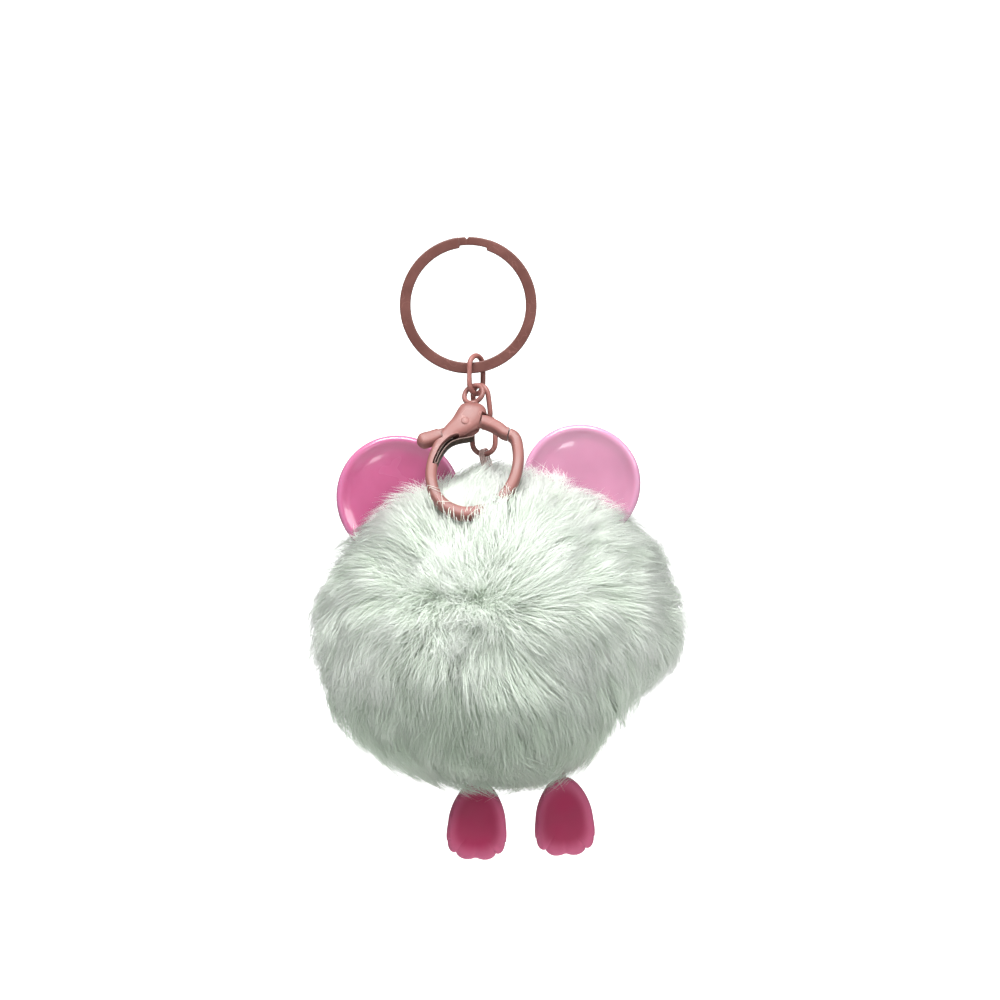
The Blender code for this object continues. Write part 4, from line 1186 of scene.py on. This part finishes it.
@dataclass
class Threads:
    """The clear loops the ball hangs by, and the loops that hold the feet and ears."""

    fibre: float = 0.20 * MM
    knot: float = 0.42 * MM  # how much thicker the knots are
    foot_fibre: float = 0.11 * MM

    def hanging(self) -> None:
        """Three fine loops over the lower link's foot, down through the neck, knotted under the disc."""
        hang = place_of("ball_swing")
        way = np.array((0.5, 0.866, 0.0))
        top, low = way * 1.175 * MM, way * 1.1 * MM
        disc = sum(corners_of("anchor_disc")) / 2
        neck = (disc * (1, 1, 0)) + np.array((0, 0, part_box("fur_backing")[1][2]))
        lines = []
        for offset, spread in ((-0.42, 0.9), (0.0, 1.0), (0.42, 1.12)):
            shift = np.array((offset, 0.0, 0.0)) * MM
            close = np.array((offset * 0.3, 0.0, 0.0)) * MM
            angle = np.linspace(0, math.pi, 25)[:, None]
            over = hang + shift + top * np.cos(angle) + np.array((0, 0, 1.16 * MM)) * np.sin(angle)
            over[:, 2] += (spread - 1) * 1.2 * MM * np.sin(angle[:, 0])
            bow = np.array((spread - 1, 0, 0)) * 4 * MM
            down = (disc - np.array((0, 0, 2.0 * MM)), disc, neck)
            start = [spot + low + close for spot in down]
            end = [spot - low + close for spot in down[::-1]]
            mid_a, mid_b = (neck + low + over[0]) / 2 + bow, (neck - low + over[-1]) / 2 + bow * 0.5
            keys = np.vstack([*start, mid_a, over, mid_b, *end])
            lines.append(resample(keys, 150))
        swell = np.full(150, self.fibre)
        ends = np.minimum(np.arange(150), np.arange(150)[::-1])
        swell = swell + self.knot * np.exp(-0.5 * ((ends - 3) / 1.4) ** 2)
        made = tubes("hanging_loops", lines, swell, 10)
        dress(made, Finish.CLEAR, "ball", ("hanging_thread",))

    def foot_loop(self, side: str) -> None:
        """Two turns of clear thread from a foot's eyelet up to the knit."""
        node = f"foot_thread_{side}"
        low, high = corners_of(node)
        middle, half = (low + high) / 2, (high - low) / 2
        lines = []
        for offset in (-0.12, 0.12):
            angle = turns(120)
            across = (half[0] - 0.25 * MM) * np.cos(angle)
            rise = (half[2] - 0.25 * MM) * np.sign(np.sin(angle)) * np.abs(np.sin(angle)) ** 0.35
            lines.append(middle + np.stack([across, np.full(120, offset * MM), rise], axis=-1))
        made = tubes(node + "_loop", lines, self.foot_fibre, 8, closed=True)
        dress(made, Finish.CLEAR, "ball", (node,))

    def build(self) -> None:
        """Every thread, and finishes for the inner pieces that stay as the frame has them."""
        self.hanging()
        self.foot_loop("left")
        self.foot_loop("right")
        kept = {
            "gathering_thread": Finish.THREAD,
            "ear_thread_left": Finish.THREAD,
            "ear_thread_right": Finish.THREAD,
            "fur_backing": Finish.KNIT,
            "fibre_filling": Finish.WADDING,
            "anchor_disc": Finish.NYLON,
        }
        for node, finish in kept.items():
            for slot in frame["nodes"][node].material_slots:
                slot.material = MATERIALS[finish]


def resample(keys: Array, count: int) -> Array:
    """A polyline's points spread evenly along its run and eased by a short running mean."""
    run = np.r_[0, np.cumsum(np.linalg.norm(np.diff(keys, axis=0), axis=1))]
    where = np.linspace(0, run[-1], count)
    line = np.column_stack([np.interp(where, run, column) for column in keys.T])
    for _ in range(3):
        line[1:-1] = (line[:-2] + 2 * line[1:-1] + line[2:]) / 4
    return line


# ------------------------------------------------------------------ fur


@dataclass
class FurBall:
    """The ball's pile: an under layer and combed fibres gathered in locks."""

    clasp: Clasp
    half: tuple[float, float, float] = (37.0 * MM, 31.0 * MM, 31.4 * MM)
    lobes: tuple = (
        ((0.82, 0.0, -0.57), -8.0 * MM, 0.24),
        ((-0.84, 0.0, -0.54), 2.4 * MM, 0.30),
        ((0.82, 0.0, 0.57), -1.4 * MM, 0.30),
        ((-0.62, -0.50, 0.60), -3.0 * MM, 0.32),
        ((0.56, -0.50, 0.66), -2.5 * MM, 0.32),
    )
    folds: tuple = (
        ((0.12, -0.98, -0.12), -2.0 * MM, 0.10),
        ((0.32, -0.93, -0.18), -2.4 * MM, 0.11),
        ((0.52, -0.82, -0.22), -2.6 * MM, 0.11),
        ((0.72, -0.63, -0.27), -2.4 * MM, 0.11),
        ((0.88, -0.36, -0.30), -1.8 * MM, 0.11),
        ((0.42, -0.90, 0.10), 1.6 * MM, 0.24),
        ((0.12, -0.77, -0.63), 1.6 * MM, 0.16),
        ((-0.38, -0.88, -0.28), 1.2 * MM, 0.25),
        ((-0.50, -0.42, 0.75), 3.0 * MM, 0.20),
    )
    parting: tuple = ((-0.47, -0.86, 0.20), (-0.20, -0.96, 0.20))  # the hair is combed away from it
    locks: int = 1900
    wisps: int = 5
    fibres: int = 11
    nodes: int = 4
    thickness: float = 0.13 * MM
    length: float = 14.0 * MM
    rise: float = 4.4 * MM
    pieces: int = 10
    seed: int = 7
    spreads: tuple = (1.6 * MM, 2.4 * MM, 1.5 * MM)  # of a lock's, a wisp's and a fibre's root
    loose: float = 0.28  # part of the fibres that stray from their wisp
    hold: tuple = (0.15, 0.66)  # how far a loose fibre and another are drawn to their wisp
    sunk: float = 0.8 * MM  # depth of the roots in the dense pile
    under: float = 1.5 * MM  # depth of the under pile's surface in the dense pile
    ear_gap: float = 0.35 * MM
    foot_gap: tuple = (5.0 * MM, 3.4 * MM)  # half the room across and through at a foot

    @staticmethod
    def way(polar: Array, round_: Array) -> Array:
        """Directions at an angle from straight up and an angle round."""
        return np.stack([np.sin(polar) * np.cos(round_), np.sin(polar) * np.sin(round_), np.cos(polar)], -1)

    def reach(self, ways: Array) -> Array:
        """How far the dense pile stands out: an ellipsoid's radius plus round swells and hollows."""
        radius = 1 / np.sqrt(((ways / np.array(self.half)) ** 2).sum(-1))
        for way, height, spread in (*self.lobes, *self.folds):
            apart = np.arccos(np.clip(ways @ unit(np.array(way)), -1, 1))
            radius = radius + height * np.exp(-0.5 * (apart / spread) ** 2)
        return radius

    def combed(self, ways: Array) -> Array:
        """The way the hair is combed: away from a short parting, turned by noise, down underneath.

        Args:
            ways: directions from the ball's middle.

        Returns:
            Unit tangents at those directions.
        """
        near, apart = self.parted_from(ways)
        away = unit(ways * (ways * near).sum(-1, keepdims=True) - near)
        spin = 0.25 * np.exp(-apart / 0.5) + 0.40 * soft_noise(ways * 30 * MM, 30 * MM, 3)
        spin = spin + 0.22 * soft_noise(ways * 30 * MM, 12 * MM, 4)
        away = self.turned(ways, away, spin)
        down = unit(np.array((0, 0, -1.0)) + ways * ways[..., 2:])
        heavy = 0.9 * smoothstep(0.15, -0.65, ways[..., 2]) + 0.5 * smoothstep(0.2, 0.9, ways[..., 1])
        return unit(away + down * heavy[..., None])

    def parted_from(self, ways: Array) -> tuple[Array, Array]:
        """The nearest direction on the parting, and the angle to it."""
        start, end = (unit(np.array(way)) for way in self.parting)
        along = np.clip((ways - start) @ (end - start) / ((end - start) @ (end - start)), 0, 1)
        near = unit(start + (end - start) * along[..., None])
        return near, np.arccos(np.clip((ways * near).sum(-1), -1, 1))

    def unruly(self, ways: Array) -> Array:
        """How much further than elsewhere hair strays from its comb: more near the parting."""
        return 1 + 3.2 * np.exp(-((self.parted_from(ways)[1] / 0.26) ** 2))

    def laid(self, ways: Array, comb: Array, length: Array, rise: Array, share: Array) -> Array:
        """Curves that leave the pile and bend over along the comb, hugging the ball.

        At share s a fibre has turned about the ball by length (0.25 s + 0.75 s^1.7) over the local
        radius, less near the parting, where it stands up, and more underneath, where it hangs. It
        stands rise s^0.75 above the dense pile there.

        Args:
            ways: root directions.
            comb: tangent at each root.
            length: how far each runs over the surface.
            rise: how high its tip stands.
            share: 0 to 1 along the fibre.

        Returns:
            Points, indexed fibre then share.
        """
        lying = 0.40 + 0.60 * smoothstep(0.05, 0.50, self.parted_from(ways)[1])
        lying = lying + 0.35 * smoothstep(-0.60, -0.95, ways[:, 2])
        turn = (length * lying)[:, None] * (0.25 * share + 0.75 * share**1.7) / self.reach(ways)[:, None]
        over = ways[:, None] * np.cos(turn)[..., None] + comb[:, None] * np.sin(turn)[..., None]
        high = self.reach(over) - self.sunk + rise[:, None] * (share**0.75 + 0.02)
        return BALL + over * high[..., None]

    def scatter(self, ways: Array, size: float, count: int, rng: np.random.Generator) -> Array:
        """Directions scattered round each given one, within size metres over the surface."""
        ways = np.repeat(ways, count, axis=0)
        side = unit(np.cross(ways, (0.31, 0.17, 0.93)))
        up = np.cross(side, ways)
        radius = size / 34 / MM * np.sqrt(rng.uniform(0, 1, len(ways)))
        angle = rng.uniform(0, 2 * math.pi, len(ways))
        offset = side * (radius * np.cos(angle))[:, None] + up * (radius * np.sin(angle))[:, None]
        return unit(ways + offset)

    def fibres_laid(self) -> tuple[Array, Array]:
        """Every fibre's curve and tone: locks, wisps in a lock, fibres in a wisp; the tone carries painted
        shade on the lower half.

        Returns:
            Points indexed fibre then station, and a tone for each fibre: random, plus painted shade that
            grows towards the bottom.
        """
        rng = np.random.default_rng(self.seed)
        at = np.arange(self.locks) + 0.5
        polar = np.arccos(1 - 2 * at / self.locks)
        ways = self.way(polar, math.pi * (1 + 5**0.5) * at)
        ways = self.scatter(ways, self.spreads[0], 1, rng)
        share = np.linspace(0, 1, self.nodes)
        long_ = self.length * rng.uniform(0.75, 1.25, self.locks)
        high = self.rise * rng.uniform(0.45, 1.60, self.locks)
        lock = self.strands(ways, long_, high, 0.30, share, rng)

        many = self.wisps
        wisp_ways = self.scatter(ways, self.spreads[1], many, rng)
        wisp_long = np.repeat(long_, many) * rng.uniform(0.8, 1.15, len(wisp_ways))
        wisp_high = np.repeat(high, many) * rng.uniform(0.75, 1.2, len(wisp_ways))
        wisp = self.strands(wisp_ways, wisp_long, wisp_high, 0.25, share, rng)
        pull = (0.50 * share**1.3)[None, :, None]
        wisp = wisp + (np.repeat(lock, many, axis=0) - wisp) * pull
        tone_and_low_shade = np.repeat(rng.uniform(0, 1, self.locks), many) * 0.4 + rng.uniform(0, 0.6, len(wisp_ways))

        many = self.fibres
        fibre_ways = self.scatter(wisp_ways, self.spreads[2], many, rng)
        count = len(fibre_ways)
        fibre_long = np.repeat(wisp_long, many) * rng.uniform(0.8, 1.1, count)
        fibre_high = np.repeat(wisp_high, many) * rng.uniform(0.7, 1.15, count)
        fibre = self.strands(fibre_ways, fibre_long, fibre_high, 0.22, share, rng)
        loose = rng.uniform(0, 1, count) < self.loose
        hold = np.where(loose, *self.hold)[:, None, None]
        fibre = fibre + (np.repeat(wisp, many, axis=0) - fibre) * hold * (share**1.1)[None, :, None]
        sway = rng.normal(0, 0.20 * MM, (count, 1, 3)) * np.sin(share * 5.0)[None, :, None]
        fibre = fibre + sway * (1 + 1.6 * loose[:, None, None])
        tone_and_low_shade = np.repeat(tone_and_low_shade, many) * 0.7 + rng.uniform(0, 0.3, count)
        # The tone is raised on fibres rooted low on the ball: painted shade that darkens and greens the
        # lower half.
        return fibre, tone_and_low_shade * 0.45 + 0.55 * smoothstep(0.10, -0.50, fibre_ways[:, 2])

    @staticmethod
    def turned(ways: Array, comb: Array, angle: Array) -> Array:
        """Tangents turned by an angle about their own outward direction."""
        return comb * np.cos(angle)[..., None] + np.cross(ways, comb) * np.sin(angle)[..., None]

    def strands(
        self, ways: Array, length: Array, rise: Array, stray: float, share: Array, rng: np.random.Generator
    ) -> Array:
        """Curves laid along the comb, each turned from it by a random angle.

        Args:
            ways: root directions.
            length: how far each runs over the surface.
            rise: how high each tip stands.
            stray: spread of the random angle in radians.
            share: 0 to 1 along a curve.
            rng: where the angles are drawn.

        Returns:
            Points, indexed curve then share.
        """
        astray = rng.normal(0, stray, len(ways)) * self.unruly(ways)
        return self.laid(ways, self.turned(ways, self.combed(ways), astray), length, rise, share)

    def parted(self, fibre: Array, ears: list[Ear], feet: list[str]) -> Array:
        """Bend fibres round what stands in the pile, each to the side its root is on.

        Args:
            fibre: points indexed fibre then station.
            ears: the discs to pass in front of or behind.
            feet: joints of the feet to pass in front of or behind.

        Returns:
            The bent points.
        """
        for ear in ears:
            local = fibre - ear.centre
            side = np.sign(local[:, :1, 1] + 0.2 * MM)
            flat = np.hypot(local[..., 0], local[..., 2])
            near = smoothstep(ear.radius + 1.6 * MM, ear.radius - 0.2 * MM, flat)
            want = np.maximum(side * local[..., 1], ear.rim / 2 + self.ear_gap) * side
            fibre[..., 1] += (want - local[..., 1]) * near
        for joint in feet:
            local = fibre - place_of(joint)
            side = np.sign(local[:, :1, 1])
            flat = np.maximum(np.abs(local[..., 0]) - self.foot_gap[0], 0)
            near = smoothstep(2.0 * MM, 0.0, flat) * smoothstep(-1.2 * MM, -2.6 * MM, local[..., 2])
            want = np.maximum(side * local[..., 1], self.foot_gap[1]) * side
            fibre[..., 1] += (want - local[..., 1]) * near
        return self.round_clasp(fibre, 0.05, 0.80)

    def beside_clasp(self, places: Array) -> tuple[Array, Array, Array]:
        """How near places are to the clasp's loop, seen square on to its plane.

        Args:
            places: any array whose last axis is x, y, z.

        Returns:
            The gap to the metal's edge, the nearest metal's place in the plane, and the offset
            out of it.
        """
        wire = self.clasp.stations(self.clasp.hook_line, np.linspace(0.15, 1, 64))
        local = self.clasp.flat(places)
        gap = np.full(local.shape[:-1], 1.0)
        metal = np.zeros((*local.shape[:-1], 2))
        size = self.clasp.length
        close = (np.abs(local[..., 0]) < 0.5 * size) & (np.abs(local[..., 1] + 0.65 * size) < 0.55 * size)
        flat = local[close][:, None, :2] - wire[:, :2]
        apart = np.hypot(flat[..., 0], flat[..., 1]) - wire[:, 2] / 2
        nearest = apart.argmin(-1)
        gap[close] = apart.min(-1)
        metal[close] = wire[nearest, :2]
        return gap, metal, local[..., 2]

    def round_clasp(self, fibre: Array, over: float, tuft: float) -> Array:
        """Press fibres back behind the clasp's loop, or out over its foot.

        Args:
            fibre: points indexed fibre then station.
            over: share of the fibres at the loop's foot that lap over it.
            tuft: how much larger that share is in one tuft right of the foot.

        Returns:
            The bent points.
        """
        rng = np.random.default_rng(self.seed + 1)
        gap, metal, out = self.beside_clasp(fibre)
        near = smoothstep(2.6 * MM, 0.6 * MM, gap)
        metal = metal / self.clasp.length
        foot = metal[..., 1] < -0.78
        share = over + tuft * np.exp(-0.5 * ((metal[..., 0] - 0.14) / 0.05) ** 2)
        chosen = rng.uniform(0, 1, (len(fibre), 1)) < share
        lap = foot & chosen & (gap[:, :1] > 1.0 * MM)
        want = np.where(lap, np.maximum(out, 2.0 * MM), np.minimum(out, -2.1 * MM))
        return fibre + self.clasp.out * ((want - out) * near)[..., None]

    def kept(self, fibre: Array, ears: list[Ear]) -> Array:
        """Which fibres have a root in the pile: not in an ear, the thread's bore or a foot's pocket."""
        root = fibre[:, 0]
        keep = np.ones(len(root), bool)
        for ear in ears:
            local = root - ear.centre
            inside = np.hypot(local[:, 0], local[:, 2]) < ear.radius
            keep &= ~((np.abs(local[:, 1]) < ear.rim * 0.55) & inside)
        hang = place_of("ball_swing")
        near_thread = np.hypot(*(root[:, :2] - hang[:2] - (BALL - hang)[:2] * 0.55).T) < 1.8 * MM
        gap, _, out = self.beside_clasp(root)
        keep &= ~(near_thread & (root[:, 2] > BALL[2]))
        return keep & ~((gap < 0.2 * MM) & (np.abs(out) < 1.9 * MM))

    def build_under(self) -> None:
        """The dense pile under the fibres: the ball's own surface, drawn in 1 mm and tufted by noise."""
        polar = np.linspace(0.002, math.pi - 0.002, 90)
        pp, rr = np.meshgrid(polar, turns(160), indexing="ij")
        ways = self.way(pp, rr)
        places = ways * self.reach(ways)[..., None]
        tuft = 0.5 * MM * soft_noise(places, 5 * MM, 9) + 0.3 * MM * soft_noise(places, 2.2 * MM, 10)
        points = BALL + ways * (self.reach(ways) - self.under + tuft)[..., None]
        pressed = self.round_clasp(points.reshape(-1, 1, 3), 0.0, 0.0)
        made = ringed("fur_under_pile", pressed.reshape(points.shape))
        dress(made, Finish.UNDER, "ball", ("fur_pile",))

    def build_fibres(self, ears: list[Ear], feet: list[str]) -> None:
        """Three-sided tapering fibres, 16 triangles each, in pieces split round the ball."""
        fibre, tone_and_low_shade = self.fibres_laid()
        keep = self.kept(fibre, ears)
        fibre, tone_and_low_shade = self.parted(fibre[keep], ears, feet), tone_and_low_shade[keep]
        order = np.argsort(np.arctan2(fibre[:, 0, 1] - BALL[1], fibre[:, 0, 0] - BALL[0]), kind="stable")
        for at, part in enumerate(np.array_split(order, self.pieces)):
            self.fibre_piece(f"fur_fibres_{at + 1}", fibre[part], tone_and_low_shade[part])

    def fibre_piece(self, name: str, line: Array, tone_and_low_shade: Array) -> None:
        """Rings of three points round each fibre but its last station, which is one tip point.

        Args:
            name: the piece's name.
            line: points indexed fibre then station.
            tone_and_low_shade: one value a fibre, random plus painted shade on the lower half.
        """
        count, stations = line.shape[:2]
        ahead = unit(np.gradient(line, axis=1))
        out = unit(line - BALL)
        side = unit(np.cross(ahead, out))
        up = np.cross(side, ahead)
        share = np.linspace(0, 1, stations)[:-1]
        size = self.thickness / 2 * (1 - 0.75 * share**1.6)
        angle = np.radians((90, 210, 330))
        wheel = np.cos(angle)[:, None] * side[:, :-1, None] + np.sin(angle)[:, None] * up[:, :-1, None]
        rings = line[:, :-1, None] + wheel * size[None, :, None, None]
        points = np.concatenate([rings.reshape(count, -1, 3), line[:, -1:]], axis=1)
        per = points.shape[1]
        base = np.arange(count)[:, None, None] * per
        low = np.arange(stations - 2)[:, None] * 3
        at = np.arange(3)[None, :]
        quads = np.stack([low + at, low + (at + 1) % 3, low + 3 + (at + 1) % 3, low + 3 + at], axis=-1)
        last = (stations - 2) * 3
        tips = np.stack([last + np.arange(3), last + (np.arange(3) + 1) % 3, np.full(3, per - 1)], axis=-1)
        tips = np.vstack([tips, [[2, 1, 0]]])
        faces = [(base + tips[None]).reshape(-1, 3), (base + quads.reshape(1, -1, 4)).reshape(-1, 4)]
        along = np.append(np.repeat(share, 3), 1.0)
        marks = {"tone_and_low_shade": np.repeat(tone_and_low_shade, per), "along": np.tile(along, count)}
        made = mesh_object(name, points.reshape(-1, 3), faces, marks)
        outward(made)
        dress(made, Finish.FUR, "ball")


# ------------------------------------------------------------------ studio


@dataclass
class Studio:
    """White sweep, soft lights and a long lens straight in front."""

    field: float = 219 * MM
    distance: float = 1.4
    across: float = 6.96 * MM
    height: float = -55.3 * MM
    aim: float = -70 * MM  # the height that the lights are aimed at
    lights: tuple = (
        ("key", (-0.10, -0.56, 0.86), 0.70, 25.0),
        ("fill", (0.75, -0.85, 0.40), 0.50, 6.0),
        ("pane", (0.10, -1.20, -0.28), 0.12, 0.45),
    )  # name, place, size and power
    surround: tuple = (0.87, 1.0, 0.84, 1.0)
    surround_strength: float = 0.14

    def camera(self) -> None:
        """A level camera at -Y whose field is as wide as named."""
        data = bpy.data.cameras.new("camera")
        data.sensor_width = 36
        data.lens = 36 * self.distance / self.field
        data.clip_end = 20
        made = bpy.data.objects.new("camera", data)
        made.location = (self.across, -self.distance, self.height)
        made.rotation_euler = (math.pi / 2, 0, 0)
        bpy.context.scene.collection.objects.link(made)
        bpy.context.scene.camera = made

    def light(self, name: str, spot: tuple, size: float, power: float) -> None:
        """A square area light aimed at the ball."""
        data = bpy.data.lights.new(name, "AREA")
        data.size = size
        data.energy = power
        made = bpy.data.objects.new(name, data)
        made.location = spot
        aim = Vector((self.across, 0, self.aim)) - Vector(spot)
        made.rotation_euler = aim.to_track_quat("-Z", "Y").to_euler()
        bpy.context.scene.collection.objects.link(made)

    def sweep(self) -> None:
        """Floor and wall in one curve: level, then a quarter turn, then upright."""
        radius, floor, back = 0.5, -0.42, 1.1
        turn = np.linspace(0, math.pi / 2, 24)
        y = np.r_[-2.5, back + radius * np.sin(turn), back + radius]
        z = np.r_[floor, floor + radius * (1 - np.cos(turn)), 0.9]
        x = np.array((-0.8, 0.8))
        points = np.stack(np.broadcast_arrays(x[:, None], y[None], z[None]), axis=-1).reshape(-1, 3)
        count = len(y)
        at = np.arange(count - 1)
        quads = np.stack([at, at + 1, count + at + 1, count + at], axis=-1)[:, ::-1]
        made = mesh_object("sweep", points, [quads])
        paper, nodes = new_material("white_sweep")
        height = nodes.add("ShaderNodeSeparateXYZ", {0: nodes.place()}).outputs["Z"]
        glow = nodes.mix(nodes.ramp(height, floor, floor + 0.12), (0, 0, 0, 1), (1, 1, 1, 1))
        inputs = {"Roughness": 0.9, "Emission Color": glow, "Emission Strength": 0.95}
        nodes.surface((0.8, 0.8, 0.8, 1), inputs)
        made.data.materials.append(paper)

    def build(self) -> None:
        """Camera, sweep, lights and an even, faintly green surround."""
        scene = bpy.context.scene
        self.camera()
        self.sweep()
        for light in self.lights:
            self.light(*light)
        world = bpy.data.worlds.new("surround")
        scene.world = world
        world.use_nodes = True
        sky = world.node_tree.nodes["Background"]
        sky.inputs["Color"].default_value = self.surround
        sky.inputs["Strength"].default_value = self.surround_strength
        scene.view_settings.view_transform = "Standard"
        scene.view_settings.look = "None"


def main() -> None:
    """Build every sub-assembly in order, then the studio."""
    logging.basicConfig(level=logging.INFO, format="%(message)s")
    SplitRing().build()
    Chain().build()
    clasp = Clasp()
    clasp.build()
    ears = [Ear("ear_left", Finish.EAR_LEFT, 13.6 * MM), Ear("ear_right", Finish.EAR_RIGHT, 13.0 * MM)]
    for ear in ears:
        ear.build()
    Foot("foot_left", "foot_left_swing", math.radians(-2)).build()
    Foot("foot_right", "foot_right_swing", math.radians(2.5)).build()
    Threads().build()
    fur = FurBall(clasp)
    fur.build_under()
    fur.build_fibres(ears, ["foot_left_swing", "foot_right_swing"])
    Studio().build()


if __name__ == "__main__":
    main()
